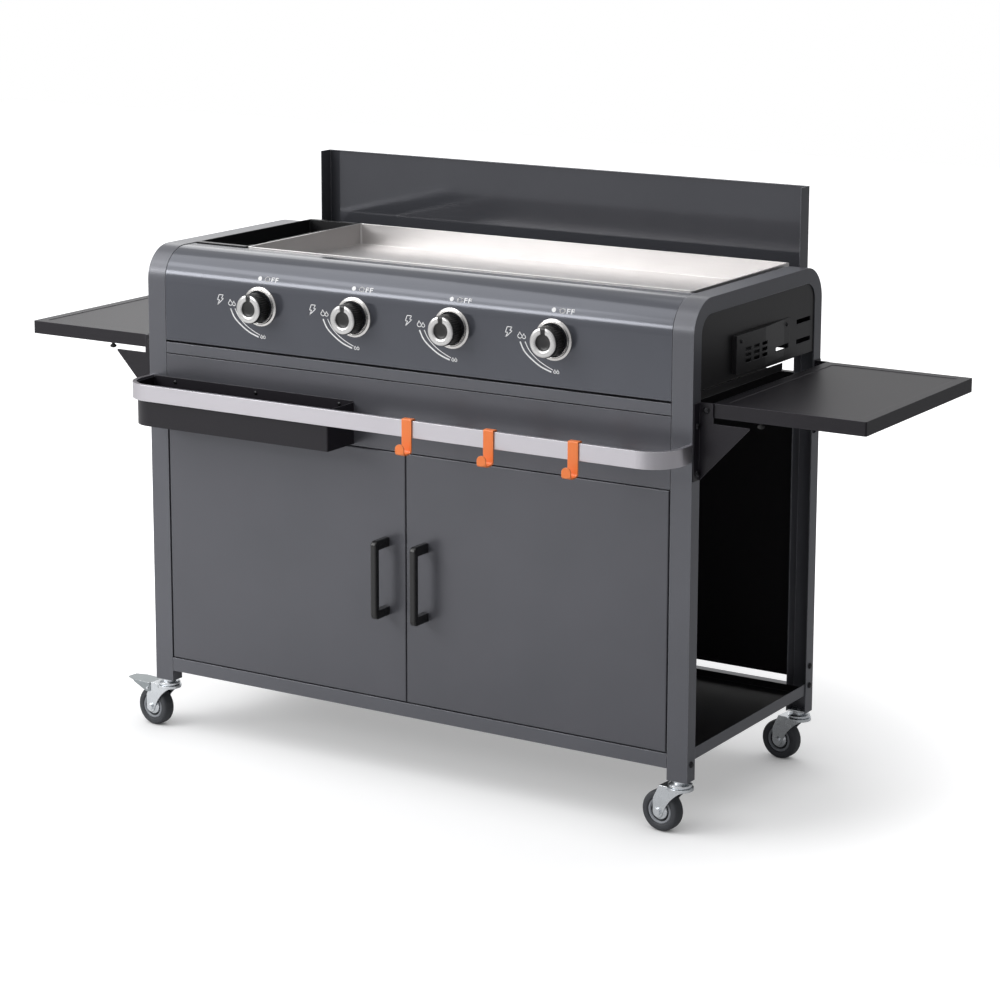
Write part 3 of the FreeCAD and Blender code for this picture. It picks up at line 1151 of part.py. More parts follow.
def make_front_accessories():
    """Towel bar bent back into the legs, condiment tray behind it, and the utensil hooks."""
    bar = new_body("towel_bar_body")
    reach = "(0 - Sizes.bar_reach)"
    thick = "Sizes.bar_thickness"
    plan = [
        (f"-{HALF}", "0"),
        (f"-{HALF}", reach, "Sizes.bar_radius"),
        (HALF, reach, "Sizes.bar_radius"),
        (HALF, "0"),
        (f"{HALF} - {thick}", "0"),
        (f"{HALF} - {thick}", BAR_BACK, f"(Sizes.bar_radius - {thick})"),
        (f"-{HALF} + {thick}", BAR_BACK, f"(Sizes.bar_radius - {thick})"),
        (f"-{HALF} + {thick}", "0"),
    ]
    pad(bar, "XY", [plan], "Sizes.bar_level", "Sizes.bar_height")
    keep("towel_bar", moved(bar))

    tray = new_body("condiment_tray_body")
    gauge = "Sizes.caddy_sheet"
    right = f"({CADDY_LEFT} + Sizes.caddy_length)"
    outside = [
        (CADDY_LEFT, "0"),
        (CADDY_LEFT, BAR_BACK, "Sizes.caddy_radius"),
        (right, BAR_BACK, "Sizes.caddy_edge"),
        (right, "0"),
    ]
    inside = [
        (f"{CADDY_LEFT} + {gauge}", f"0 - {gauge}"),
        (f"{CADDY_LEFT} + {gauge}", f"{BAR_BACK} + {gauge}", f"(Sizes.caddy_radius - {gauge})"),
        (f"{right} - {gauge}", f"{BAR_BACK} + {gauge}", f"(Sizes.caddy_edge - {gauge})"),
        (f"{right} - {gauge}", f"0 - {gauge}"),
    ]
    pad(tray, "XY", [outside], "Sizes.caddy_level", "Sizes.caddy_height")
    pocket(tray, "XY", [inside], f"Sizes.caddy_level + {gauge}", "Sizes.caddy_height")
    back = box_outline(CADDY_LEFT, CADDY_TOP, right, CADDY_BACK_TOP)
    pad(tray, "XZ", [back], f"0 - {gauge}", gauge)
    circles = [
        Circle(screw, f"{CADDY_BACK_TOP} - Sizes.caddy_screw_drop", SCREW_HOLE)
        for screw in caddy_screws()
    ]
    pocket(tray, "XZ", circles, f"0 - {gauge}", gauge)
    keep("condiment_tray", moved(tray))

    hook = new_body("hook_master")
    clear = "Sizes.hook_clearance"
    strap = "Sizes.hook_strap"
    behind = f"({BAR_BACK} + {clear})"
    over = f"({BAR_TOP} + {clear})"
    before = f"({reach} - {clear})"
    tip = f"({reach} - Sizes.hook_reach)"
    foot = "(Sizes.bar_level - Sizes.hook_drop)"
    tip_level = f"({foot} + Sizes.hook_tip_radius + {strap})"
    outline = [
        (behind, f"{over} - Sizes.hook_back"),
        (f"{behind} + {strap}", f"{over} - Sizes.hook_back"),
        (f"{behind} + {strap}", f"{over} + {strap}", strap),
        (f"{before} - {strap}", f"{over} + {strap}", strap),
        (f"{before} - {strap}", f"{foot} + {strap}", f"(Sizes.hook_bend - {strap})"),
        (f"{tip} + {strap}", f"{foot} + {strap}", f"(Sizes.hook_bend - {strap})"),
        (f"{tip} + {strap}", tip_level),
        (tip, tip_level),
        (tip, foot, "Sizes.hook_bend"),
        (before, foot, "Sizes.hook_bend"),
        (before, over),
        (behind, over),
    ]
    pad(hook, "YZ", [outline], "0 - Sizes.hook_width / 2", "Sizes.hook_width")
    # the tongue is narrower than the strap and ends in a round tab
    for side in (-1, 1):
        edges = sorted([f"{side} * Sizes.hook_width / 2", f"{side} * Sizes.hook_tip_radius"],
                       key=value)
        waste = box_outline(edges[0], tip, edges[1], f"{before} - {strap}")
        pocket(hook, "XY", [waste], foot, f"{tip_level} - {foot}")
    pad(hook, "XZ", [Circle("0", tip_level, "Sizes.hook_tip_radius")], tip, strap)
    places = [
        (f"Sizes.hook_first + {number} * Sizes.hook_pitch", "0", "0", None)
        for number in range(HOOKS)
    ]
    for number, piece in enumerate(copies("hook_at", hook, places), start=1):
        keep(f"hook_{number}", piece)


def caddy_screws():
    """Places of the condiment tray's screws across the station."""
    first = f"{CADDY_LEFT} + Sizes.caddy_screw_inset"
    return [f"({first} + {step} * Sizes.caddy_screw_pitch)" for step in range(3)]


def make_shelves():
    """Fold-down shelf, its rubber buffers and gusset brackets, on both sides."""
    gauge = "Sizes.shelf_sheet"
    near = "Sizes.shelf_inset"
    far = f"({REAR} - Sizes.shelf_inset)"
    shelf = new_body("right_shelf_body")
    inner = SHELF_IN
    corner = "Sizes.shelf_radius"
    outside = [
        (inner, near),
        (SHELF_OUT, near, corner),
        (SHELF_OUT, far, corner),
        (inner, far),
    ]
    small = f"({corner} - {gauge})"
    inside = [
        (inner, f"{near} + {gauge}"),
        (f"{SHELF_OUT} - {gauge}", f"{near} + {gauge}", small),
        (f"{SHELF_OUT} - {gauge}", f"{far} - {gauge}", small),
        (inner, f"{far} - {gauge}"),
    ]
    pad(shelf, "XY", [outside], SHELF_FOOT, "Sizes.shelf_thickness")
    pocket(shelf, "XY", [inside], SHELF_FOOT, f"Sizes.shelf_thickness - 2 * {gauge}")
    hem = "Sizes.shelf_hem"
    window = [
        (inner, f"{near} + {hem}"),
        (f"{SHELF_OUT} - {hem}", f"{near} + {hem}"),
        (f"{SHELF_OUT} - {hem}", f"{far} - {hem}"),
        (inner, f"{far} - {hem}"),
    ]
    rim = [
        (inner, near), (SHELF_OUT, near, corner), (SHELF_OUT, far, corner), (inner, far),
        window[3], window[2], window[1], window[0],
    ]
    pad(shelf, "XY", [rim], SHELF_FOOT, gauge)
    border = "Sizes.shelf_border"
    field = box_outline(f"{inner} + {border}", f"{near} + {border}", f"{SHELF_OUT} - {border}",
                        f"{far} - {border}", f"{corner} / 2")
    pocket(shelf, "XY", [field], "Sizes.shelf_level - Sizes.shelf_recess", "Sizes.shelf_recess")
    # inner apron under the top's inner edge
    pad(shelf, "YZ", [box_outline(near, SHELF_FOOT, far, "Sizes.shelf_level")], inner, gauge)
    # ears carry the apron in to the pivots and end in a half round
    end = "(Sizes.shelf_thickness / 2)"
    for start in (near, f"{far} - {gauge}"):
        pad(shelf, "XZ", [box_outline(PIVOT, SHELF_FOOT, f"{inner} + {gauge}",
                                      "Sizes.shelf_level")], start, gauge)
        pad(shelf, "XZ", [Circle(PIVOT, PIVOT_LEVEL, end)], start, gauge)
        pocket(shelf, "XZ", [Circle(PIVOT, PIVOT_LEVEL, BOLT_HOLE)],
               start, gauge)
    moved(shelf)
    keep("right_shelf", shelf)
    keep("left_shelf", mirror("left_shelf_mirror", shelf))

    buffer = new_body("buffer_master")
    radius = "Sizes.buffer_radius"
    height = "Sizes.buffer_height"
    profile = [
        ("0", "0"),
        (f"{radius} / 2", "0"),
        (f"{radius} / 2", f"0 - {height} / 3"),
        (radius, f"0 - {height} / 2"),
        (radius, f"0 - 5 * {height} / 6"),
        (f"{radius} / 2", f"0 - {height}"),
        ("0", f"0 - {height}"),
    ]
    turned(buffer, "XZ", profile)
    across = f"{PIVOT} + Sizes.buffer_out"
    places = [
        (across, f"{near} + Sizes.buffer_inset", SHELF_FOOT, None),
        (across, f"{far} - Sizes.buffer_inset", SHELF_FOOT, None),
    ]
    pair = bundle("right_buffers_pair", copies("right_buffer", buffer, places))
    keep("right_shelf_buffers", pair)
    keep("left_shelf_buffers", mirror("left_buffers_mirror", pair))

    bracket = new_body("bracket_body")
    plate = "Sizes.bracket_sheet"
    tip = "(Sizes.shelf_level - Sizes.bracket_drop)"
    shoulder = f"({SHELF_FOOT} - Sizes.bracket_shoulder)"
    outline = [
        (HALF, tip),
        (f"{HALF} + Sizes.bracket_sheet", tip),
        (f"{HALF} + Sizes.bracket_length", f"{shoulder} - Sizes.bracket_sheet"),
        (f"{HALF} + Sizes.bracket_length", shoulder),
        (f"{HALF} + Sizes.bracket_ear", shoulder),
        (f"{HALF} + Sizes.bracket_ear", "Sizes.shelf_level"),
        (HALF, "Sizes.shelf_level"),
    ]
    start = f"({near} - Sizes.bracket_gap - {plate})"
    pad(bracket, "XZ", [outline], start, plate)
    base = box_outline(HALF, tip, f"{HALF} + Sizes.hoop_sheet", "Sizes.shelf_level")
    pad(bracket, "XZ", [base], "Sizes.hoop_sheet", f"{start} - Sizes.hoop_sheet")
    pocket(bracket, "XZ", [Circle(PIVOT, PIVOT_LEVEL, BOLT_HOLE)],
           start, plate)
    holes = [
        Circle("Sizes.bolt_inset", f"Sizes.shelf_level - {drop}",
               BOLT_HOLE)
        for drop in ("Sizes.bolt_bracket_low", "Sizes.bolt_bracket_high")
    ]
    pocket(bracket, "YZ", holes, HALF, "Sizes.hoop_sheet")
    moved(bracket)
    rear = mirror("rear_bracket", bracket, "Sizes.frame_depth / 2")
    pair = [bracket, rear]
    pair += [mirror("left_front_bracket", bracket), mirror("left_rear_bracket", rear)]
    keep("shelf_brackets", bundle("bracket_set", pair))


def make_fasteners():
    """Domed bolts of the frame and shelf pivots, and the small screws of the covers."""
    bolt = new_body("bolt_master")
    head = "Sizes.bolt_head_radius"
    rise = "Sizes.bolt_head_height"
    # turned about the bolt's own axis: a cone and a small flat make the dome
    profile = [
        ("0", "0 - Sizes.bolt_length"),
        ("Sizes.bolt_radius", "0 - Sizes.bolt_length"),
        ("Sizes.bolt_radius", "0"),
        (head, "0"),
        (head, f"{rise} / 4"),
        (f"0.8 * {head}", f"0.75 * {rise}"),
        (f"0.45 * {head}", rise),
        ("0", rise),
    ]
    turned(bolt, "XY", profile)
    front = "Sizes.bolt_inset"
    rear = f"({REAR} - Sizes.bolt_inset)"
    low = "Sizes.foot_height + Sizes.bolt_low"
    right = []
    for across, back, up in (
        (HALF, front, low),
        (HALF, rear, "Sizes.foot_height + Sizes.bolt_rear_low"),
        (HALF, rear, "Sizes.foot_height + Sizes.bolt_rear_high"),
        (f"{HALF} + Sizes.hoop_sheet", front, "Sizes.shelf_level - Sizes.bolt_bracket_low"),
        (f"{HALF} + Sizes.hoop_sheet", front, "Sizes.shelf_level - Sizes.bolt_bracket_high"),
        (f"{HALF} + Sizes.hoop_sheet", rear, "Sizes.shelf_level - Sizes.bolt_bracket_low"),
        (f"{HALF} + Sizes.hoop_sheet", rear, "Sizes.shelf_level - Sizes.bolt_bracket_high"),
    ):
        right.append((across, back, up, "0 - 90"))
    plate_face = "(Sizes.shelf_inset - Sizes.bracket_gap - Sizes.bracket_sheet)"
    right.append((PIVOT, plate_face, PIVOT_LEVEL, "180"))
    right.append((PIVOT, f"{REAR} - {plate_face}", PIVOT_LEVEL, "0"))
    right_bolts = bundle("right_bolts", copies("right_bolt", bolt, right))
    left_bolts = mirror("left_bolts", right_bolts)
    keep("frame_bolts", bundle("bolt_set", [right_bolts, left_bolts]))

    screw = new_body("screw_master")
    head = "Sizes.screw_head_radius"
    rise = "Sizes.screw_head_height"
    profile = [
        ("0", "0 - Sizes.screw_length"),
        ("Sizes.screw_radius", "0 - Sizes.screw_length"),
        ("Sizes.screw_radius", "0"),
        (head, "0"),
        (f"0.9 * {head}", f"0.6 * {rise}"),
        (f"0.4 * {head}", rise),
        ("0", rise),
    ]
    turned(screw, "XY", profile)
    level = f"({CADDY_BACK_TOP} - Sizes.caddy_screw_drop)"
    places = [(screw_at, "0 - Sizes.caddy_sheet", level, "180") for screw_at in caddy_screws()]
    screws = copies("tray_screw", screw, places)
    first, last = cover_screws()
    places = [
        (f"{LEG_INSIDE} + Sizes.cover_rise", first, COVER_SCREW_LEVEL, "0 - 90"),
        (f"{LEG_INSIDE} + Sizes.panel_sheet", last, COVER_SCREW_LEVEL, "0 - 90"),
    ]
    right = bundle("right_cover_screws", copies("cover_screw", screw, places))
    screws += [right, mirror("left_cover_screws", right)]
    keep("panel_screws", bundle("screw_set", screws))


def make_fork(name, braked):
    """Caster fork that trails along +X: crown, swept cheeks, king pin; ears where it has a brake."""
    fork = new_body(name)
    tail = "(Sizes.trail + Sizes.fork_boss)"
    crown_foot = "(Sizes.fork_top - Sizes.fork_sheet)"
    cheek = [
        ("0 - Sizes.fork_front", "Sizes.fork_top"),
        ("Sizes.fork_tail", "Sizes.fork_top"),
        (tail, "Sizes.fork_waist"),
        (tail, "Sizes.wheel_radius"),
        ("0 - Sizes.fork_front", "Sizes.wheel_radius"),
    ]
    sweep = Circle("0 - Sizes.sweep_front", "Sizes.sweep_level", "Sizes.sweep_radius")
    boss = Circle("Sizes.trail", "Sizes.wheel_radius", "Sizes.fork_boss")
    axle_hole = Circle("Sizes.trail", "Sizes.wheel_radius", "Sizes.axle_radius")
    crown = box_outline("0", f"-{FORK_OUTSIDE}", "Sizes.fork_tail", FORK_OUTSIDE)
    pad(fork, "XY", [crown], crown_foot, "Sizes.fork_sheet")
    for start in (f"-{FORK_OUTSIDE}", FORK_INSIDE):
        pad(fork, "XZ", [cheek], start, "Sizes.fork_sheet")
        pocket(fork, "XZ", [sweep], start, "Sizes.fork_sheet")
        pad(fork, "XZ", [boss], start, "Sizes.fork_sheet")
        if braked:
            pad(fork, "XZ", [Circle(*PEDAL_PIN, "Sizes.pedal_ear")], start, "Sizes.fork_sheet")
        pocket(fork, "XZ", [axle_hole], start, "Sizes.fork_sheet")
    if braked:
        rivet = f"({PEDAL_SIDE} + 2 * Sizes.pedal_sheet - {FORK_OUTSIDE})"
        for start in (f"-{FORK_OUTSIDE} - {rivet}", FORK_OUTSIDE):
            pad(fork, "XZ", [Circle(*PEDAL_PIN, "Sizes.pedal_pin_radius")], start, rivet)
    pad(fork, "XY", [Circle("0", "0", "Sizes.crown_radius")],
        "Sizes.fork_top - Sizes.fork_lip", "Sizes.fork_lip")
    pad(fork, "XY", [Circle("0", "0", "Sizes.king_pin_radius")], "Sizes.fork_top",
        "Sizes.foot_height + Sizes.foot_plate - Sizes.fork_top")
    return fork


def make_wheel():
    """Caster wheel: hub and grey core in one, and the tyre round them."""
    core = new_body("wheel_core_master")
    bore = "(Sizes.axle_radius + Sizes.running_gap)"
    web = "(Sizes.core_web / 2)"
    edge = "(Sizes.core_width / 2)"
    end = f"({FORK_INSIDE} - Sizes.hub_play)"
    half = [
        (bore, end),
        ("Sizes.hub_tube", end),
        ("Sizes.hub_tube", edge),
        ("Sizes.hub_radius", edge),
        ("Sizes.hub_radius", web),
        ("Sizes.core_well", web),
        ("Sizes.core_well", edge),
        ("Sizes.core_radius", edge),
    ]
    turned(core, "XY", half + [(out, f"0 - ({along})") for out, along in reversed(half)])
    tyre = new_body("wheel_tyre_master")
    outer = "Sizes.wheel_radius"
    side = "(Sizes.wheel_width / 2)"
    shoulder = "Sizes.tyre_shoulder"
    half = [
        ("Sizes.core_radius", edge),
        (f"Sizes.core_radius + {side} - {edge}", side),
        (f"{outer} - {shoulder}", side),
        (f"{outer} - {shoulder} / 3", f"{side} - 2 * {shoulder} / 3"),
        (outer, f"{side} - 3 * {shoulder} / 2"),
    ]
    turned(tyre, "XY", half + [(out, f"0 - ({along})") for out, along in reversed(half)])
    for piece in (core, tyre):
        piece.setExpression(".Placement.Base.x", "Sizes.trail")
        piece.setExpression(".Placement.Base.z", "Sizes.wheel_radius")
    return bundle("wheel_whole", [core, tyre])


def make_pedal():
    """Brake pedal: a folded channel astride the fork, narrowed to its tip, and its brake shoe."""
    pedal = new_body("pedal_sheet_master")
    gauge = "Sizes.pedal_sheet"
    under = f"(Sizes.pedal_top - {gauge})"
    wide = f"({PEDAL_SIDE} + {gauge})"
    start = "Sizes.pedal_start"
    bend = "Sizes.pedal_bend"
    tip = "(Sizes.pedal_tip / 2)"
    plan = [
        (start, f"-{wide}"), (bend, f"-{wide}"), ("Sizes.pedal_reach", f"-{tip}"),
        ("Sizes.pedal_reach", tip), (bend, wide), (start, wide),
    ]
    pad(pedal, "XY", [plan], under, gauge)
    foot = "Sizes.pedal_side_foot"
    side = [
        (start, "Sizes.pedal_top"),
        (start, f"{foot} + {gauge}"),
        (f"{start} + {gauge}", foot),
        ("Sizes.pedal_pin_out + Sizes.pedal_ear", foot),
        (bend, f"{under} - {gauge}"),
        (bend, "Sizes.pedal_top"),
    ]
    hole = Circle(*PEDAL_PIN, "Sizes.pedal_pin_radius + Sizes.running_gap")
    for at in (f"-{wide}", PEDAL_SIDE):
        pad(pedal, "XZ", [side, hole], at, gauge)
    shoe = new_body("brake_shoe_master")
    reach = "(Sizes.shoe_size / 2)"
    block = box_outline(f"Sizes.shoe_out - {reach}", "0 - Sizes.shoe_size",
                        f"Sizes.shoe_out + {reach}", "Sizes.shoe_size")
    pad(shoe, "XY", [block], "Sizes.shoe_foot", f"{under} - Sizes.shoe_foot")
    return bundle("pedal_whole", [pedal, shoe])


def make_casters():
    """Swivel casters: races welded into the legs, forks with their axles, wheels, pedals."""
    race = new_body("race_master")
    bore = "(Sizes.king_pin_radius + Sizes.running_gap)"
    foot = "(Sizes.fork_top + Sizes.race_gap)"
    crest = f"({foot} + Sizes.race_height)"
    bevel = "Sizes.race_edge"
    outline = [
        (bore, foot),
        (f"Sizes.race_radius - {bevel} / 2", foot),
        ("Sizes.race_radius", f"{foot} + {bevel}"),
        ("Sizes.race_radius", f"{crest} - {bevel}"),
        (f"Sizes.race_radius - 2 * {bevel}", crest),
        ("Sizes.race_neck", crest),
        ("Sizes.race_neck", "Sizes.foot_height"),
        (bore, "Sizes.foot_height"),
    ]
    turned(race, "XZ", outline)
    wide = "(Sizes.foot_width / 2)"
    deep = "(Sizes.foot_depth / 2)"
    pad(race, "XY", [box_outline(f"-{wide}", f"-{deep}", wide, deep), Circle("0", "0", bore)],
        "Sizes.foot_height", "Sizes.foot_plate")
    corners = [
        (CASTER_OUT, CASTER_FRONT),
        (CASTER_OUT, CASTER_REAR),
        (f"-{CASTER_OUT}", CASTER_FRONT),
        (f"-{CASTER_OUT}", CASTER_REAR),
    ]
    places = [(across, back, "0", None) for across, back in corners]
    keep("caster_plates", bundle("caster_plate_set", copies("caster_plate", race, places)))

    axle = new_body("axle_master")
    pad(axle, "XZ", [Circle("Sizes.trail", "Sizes.wheel_radius", "Sizes.axle_radius")],
        f"-{FORK_OUTSIDE}", f"2 * {FORK_OUTSIDE}")
    for start in (f"-{FORK_OUTSIDE} - Sizes.axle_head_height", FORK_OUTSIDE):
        pad(axle, "XZ", [Circle("Sizes.trail", "Sizes.wheel_radius", "Sizes.axle_head")], start,
            "Sizes.axle_head_height")
    plain = bundle("fork_plain", [make_fork("fork_plain_body", False), axle])
    braked = bundle("fork_braked", [make_fork("fork_braked_body", True), axle])
    wheel = make_wheel()
    pedal = make_pedal()
    for number, (across, back) in enumerate(corners, start=1):
        place = [(across, back, "0", "Sizes.swivel_angle")]
        source = plain if number <= 2 else braked
        keep(f"caster_fork_{number}", copies(f"fork_at_{number}", source, place)[0])
        keep(f"caster_wheel_{number}", copies(f"wheel_at_{number}", wheel, place)[0])
        if number > 2:
            keep(f"brake_pedal_{number - 2}", copies(f"pedal_at_{number}", pedal, place)[0])


make_hoop()
make_control_panel()
make_front_members()
make_side_rails()
make_cabinet()
make_doors()
make_firebox()
make_vent_covers()
make_plate()
make_grease_tray()
make_gas_train()
make_knobs()
make_backsplash()
make_front_accessories()
make_shelves()
make_fasteners()
make_casters()
document.recompute()

for item in document.Objects:
    if "Invalid" in item.State or "Error" in item.State:
        raise RuntimeError(f"{item.Label} did not build: {item.State}")
for piece in kept:
    if piece.Shape.isNull() or not piece.Shape.isValid() or not piece.Shape.Solids:
        raise RuntimeError(f"{piece.Label} is not a valid solid")

os.makedirs("parts", exist_ok=True)
for piece in kept:
    piece.Shape.exportStep(f"parts/{piece.Label}.step")
print(len(kept), "pieces written")
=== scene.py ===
"""Outdoor gas griddle station: the finishes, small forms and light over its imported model."""

import logging
import math
from dataclasses import dataclass
from enum import Enum, IntEnum

import bmesh
import bpy
from mathutils import Matrix, Vector

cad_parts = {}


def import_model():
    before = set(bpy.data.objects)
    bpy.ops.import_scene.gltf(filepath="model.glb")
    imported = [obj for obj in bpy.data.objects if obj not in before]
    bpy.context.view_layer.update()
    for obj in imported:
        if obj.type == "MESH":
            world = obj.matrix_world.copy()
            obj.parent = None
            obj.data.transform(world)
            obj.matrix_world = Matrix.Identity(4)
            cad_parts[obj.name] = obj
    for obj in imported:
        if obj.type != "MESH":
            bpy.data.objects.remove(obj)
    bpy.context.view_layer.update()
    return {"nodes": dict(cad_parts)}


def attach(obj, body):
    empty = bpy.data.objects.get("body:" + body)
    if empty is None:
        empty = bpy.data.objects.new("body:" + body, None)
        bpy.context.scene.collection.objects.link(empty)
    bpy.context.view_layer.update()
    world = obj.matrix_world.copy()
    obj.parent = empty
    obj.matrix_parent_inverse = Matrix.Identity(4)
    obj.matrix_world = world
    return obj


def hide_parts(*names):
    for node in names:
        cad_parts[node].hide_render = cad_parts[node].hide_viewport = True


LOG = logging.getLogger("griddle_station")
MM = 0.001
FRONT = -206 * MM
FULL_TURN = 2 * math.pi
# Radii below this are points on the axis of a turned form.
ON_AXIS = 1e-7
# How far a rounded edge's normal leans from its face where the painted edge highlight begins and
# where it is full.
EDGE_HIGHLIGHT_SPAN = (0.995, 0.8)
# The part of the noise that the gloss follows.
GRAIN_SPAN = (0.3, 0.7)
LEAST_ROUGHNESS = 0.02

Point = tuple[float, float]
Place = tuple[float, float, float]


class Grain(Enum):
    """Which way a surface was worked; the three numbers stretch its grain along X, Y and Z."""

    EVEN = (1.0, 1.0, 1.0)
    ALONG_X = (0.02, 1.0, 1.0)
    ALONG_Y = (1.0, 0.02, 1.0)
    ALONG_Z = (1.0, 1.0, 0.02)


class KnobPart(IntEnum):
    """Material slots of a knob."""

    MOULDING = 0
    RING = 1


class WheelPart(IntEnum):
    """Material slots of a caster wheel."""

    TREAD = 0
    CORE = 1
    RECESS = 2
    HUB = 3


def linear(hex_colour: str) -> tuple[float, float, float, float]:
    """Turns an sRGB hex colour to linear light.

    Args:
        hex_colour: six hex digits after a hash sign.

    Returns:
        Red, green, blue and full alpha.
    """
    channels = [int(hex_colour[start : start + 2], 16) / 255 for start in (1, 3, 5)]
    red, green, blue = (
        level / 12.92 if level <= 0.04045 else ((level + 0.055) / 1.055) ** 2.4
        for level in channels
    )
    return red, green, blue, 1.0


def add_node(
    tree: bpy.types.NodeTree,
    kind: str,
    sockets: dict[str | int, object] | None = None,
    links: dict[str | int, bpy.types.NodeSocket] | None = None,
    **settings: object,
) -> bpy.types.Node:
    """Adds one node to a tree.

    Args:
        tree: the material's or world's node tree.
        kind: Blender's name for the node.
        sockets: numbers and colours for inputs, by name or number.
        links: outputs of other nodes for inputs, by name or number.
        settings: the node's own properties.

    Returns:
        The new node.
    """
    node = tree.nodes.new(kind)
    for name, setting in settings.items():
        setattr(node, name, setting)
    for name, number in (sockets or {}).items():
        node.inputs[name].default_value = number
    for name, source in (links or {}).items():
        tree.links.new(source, node.inputs[name])
    return node


def ramp(
    tree: bpy.types.NodeTree,
    source: bpy.types.NodeSocket,
    span: Point,
    levels: Point,
    **settings: object,
) -> bpy.types.NodeSocket:
    """Maps a value from one range to another, held at its ends.

    Args:
        tree: the material's or world's node tree.
        source: output with the value.
        span: the value's two ends.
        levels: what they turn to.
        settings: the node's own properties.

    Returns:
        The mapped value.
    """
    return add_node(
        tree,
        "ShaderNodeMapRange",
        sockets={"From Min": span[0], "From Max": span[1],
                 "To Min": levels[0], "To Max": levels[1]},
        links={"Value": source},
        **settings,
    ).outputs["Result"]


def noise(
    tree: bpy.types.NodeTree, place: bpy.types.NodeSocket, size: float, detail: float = 2.0
) -> bpy.types.NodeSocket:
    """Adds an even noise.

    Args:
        tree: the material's node tree.
        place: output with the coordinates.
        size: size of its patches in metres.
        detail: how many finer layers it carries.

    Returns:
        The noise, from 0 to 1.
    """
    return add_node(
        tree,
        "ShaderNodeTexNoise",
        sockets={"Scale": 1 / size, "Detail": detail},
        links={"Vector": place},
    ).outputs["Fac"]


@dataclass(frozen=True)
class Finish:
    """One real material and how its surface was made."""

    name: str
    colour: str
    shade: str
    roughness: float
    metallic: float = 0.0
    grain: Grain = Grain.EVEN
    grain_mm: float = 1.2
    grain_depth: float = 0.05
    patch_mm: float = 160.0
    roughness_spread: float = 0.05
    # Lighter colour mixed in along rounded edges: a painted highlight.
    edge_highlight_colour: str = ""
    edge_mm: float = 1.2
    ior: float = 1.5
    coat: float = 0.0

    def material(self) -> bpy.types.Material:
        """Makes the material once and hands out the same one after that.

        Returns:
            The material, with its colour, grain, gloss and a painted highlight on its rounded
            edges in nodes.
        """
        made = bpy.data.materials.get(self.name)
        if made is not None:
            return made
        made = bpy.data.materials.new(self.name)
        made.use_nodes = True
        tree = made.node_tree
        tree.nodes.clear()
        place = add_node(tree, "ShaderNodeTexCoord").outputs["Object"]
        along = add_node(
            tree,
            "ShaderNodeMapping",
            sockets={"Scale": self.grain.value},
            links={"Vector": place},
        ).outputs["Vector"]
        grain = noise(tree, along, self.grain_mm * MM, detail=3.0)
        patches = noise(tree, place, self.patch_mm * MM)
        tone = add_node(
            tree,
            "ShaderNodeMixRGB",
            sockets={"Color1": linear(self.colour), "Color2": linear(self.shade)},
            links={"Fac": patches},
        ).outputs["Color"]
        corner = add_node(
            tree, "ShaderNodeBevel", sockets={"Radius": self.edge_mm * MM}, samples=4
        ).outputs["Normal"]
        # Painted highlight: the edge colour is mixed in where the bevelled normal leans from the
        # face.
        if self.edge_highlight_colour:
            face = add_node(tree, "ShaderNodeNewGeometry").outputs["Normal"]
            flat = add_node(
                tree,
                "ShaderNodeVectorMath",
                operation="DOT_PRODUCT",
                links={0: corner, 1: face},
            ).outputs["Value"]
            tone = add_node(
                tree,
                "ShaderNodeMixRGB",
                sockets={"Color2": linear(self.edge_highlight_colour)},
                links={"Fac": ramp(tree, flat, EDGE_HIGHLIGHT_SPAN, (0.0, 1.0)), "Color1": tone},
            ).outputs["Color"]
        smoothest = max(self.roughness - self.roughness_spread, LEAST_ROUGHNESS)
        gloss = ramp(tree, grain, GRAIN_SPAN, (smoothest, self.roughness + self.roughness_spread))
        relief = add_node(
            tree,
            "ShaderNodeBump",
            sockets={"Strength": self.grain_depth, "Distance": self.grain_mm * MM},
            links={"Height": grain, "Normal": corner},
        ).outputs["Normal"]
        shader = add_node(
            tree,
            "ShaderNodeBsdfPrincipled",
            sockets={"Metallic": self.metallic, "IOR": self.ior, "Coat Weight": self.coat},
            links={"Base Color": tone, "Roughness": gloss, "Normal": relief},
        )
        add_node(
            tree,
            "ShaderNodeOutputMaterial",
            links={"Surface": shader.outputs["BSDF"]},
        )
        return made


# Where a finish below has an edge colour, that colour is a painted highlight along its rounded
# edges.
# Metallic powder coat, baked on folded steel: smooth mid grey with a soft metal glitter.
FRAME_COAT = Finish("metallic_powder_coat", "#63646a", "#5c5d62", 0.3, 0.3,
                    grain_mm=0.9, grain_depth=0.012, roughness_spread=0.02,
                    edge_highlight_colour="#9c9da3")
# The same coat on the rolled panel: glossier, with a bright band along the bend.
PANEL_COAT = Finish("panel_powder_coat", "#595b62", "#52545b", 0.15, 0.36,
                    grain_mm=0.9, grain_depth=0.008, roughness_spread=0.02,
                    edge_highlight_colour="#a4a5ac")
# That coat on the wind guard, its colour darkened a shade as painted shade, with soft mirrored
# bands.
SHADED_SPLASH_COAT = Finish("wind_guard_coat_with_painted_shade", "#4e4f54", "#47484d", 0.09, 0.3,
                     grain_mm=0.9, grain_depth=0.008, roughness_spread=0.02,
                     edge_highlight_colour="#a4a5ac")
# Flatter coat of the doors and the fascia over them: even grey with a faint bluish cast.
DOOR_COAT = Finish("door_powder_coat", "#5d5d63", "#55565b", 0.3, 0.3,
                   grain_mm=0.9, grain_depth=0.012, roughness_spread=0.02,
                   edge_highlight_colour="#84858b")
# Charcoal powder coat with a violet cast: nearly black with a dry sheen.
SHELF_COAT = Finish("charcoal_powder_coat", "#1f1c22", "#1a181d", 0.4,
                    grain_mm=1.1, grain_depth=0.06, edge_highlight_colour="#57555c", ior=1.38)
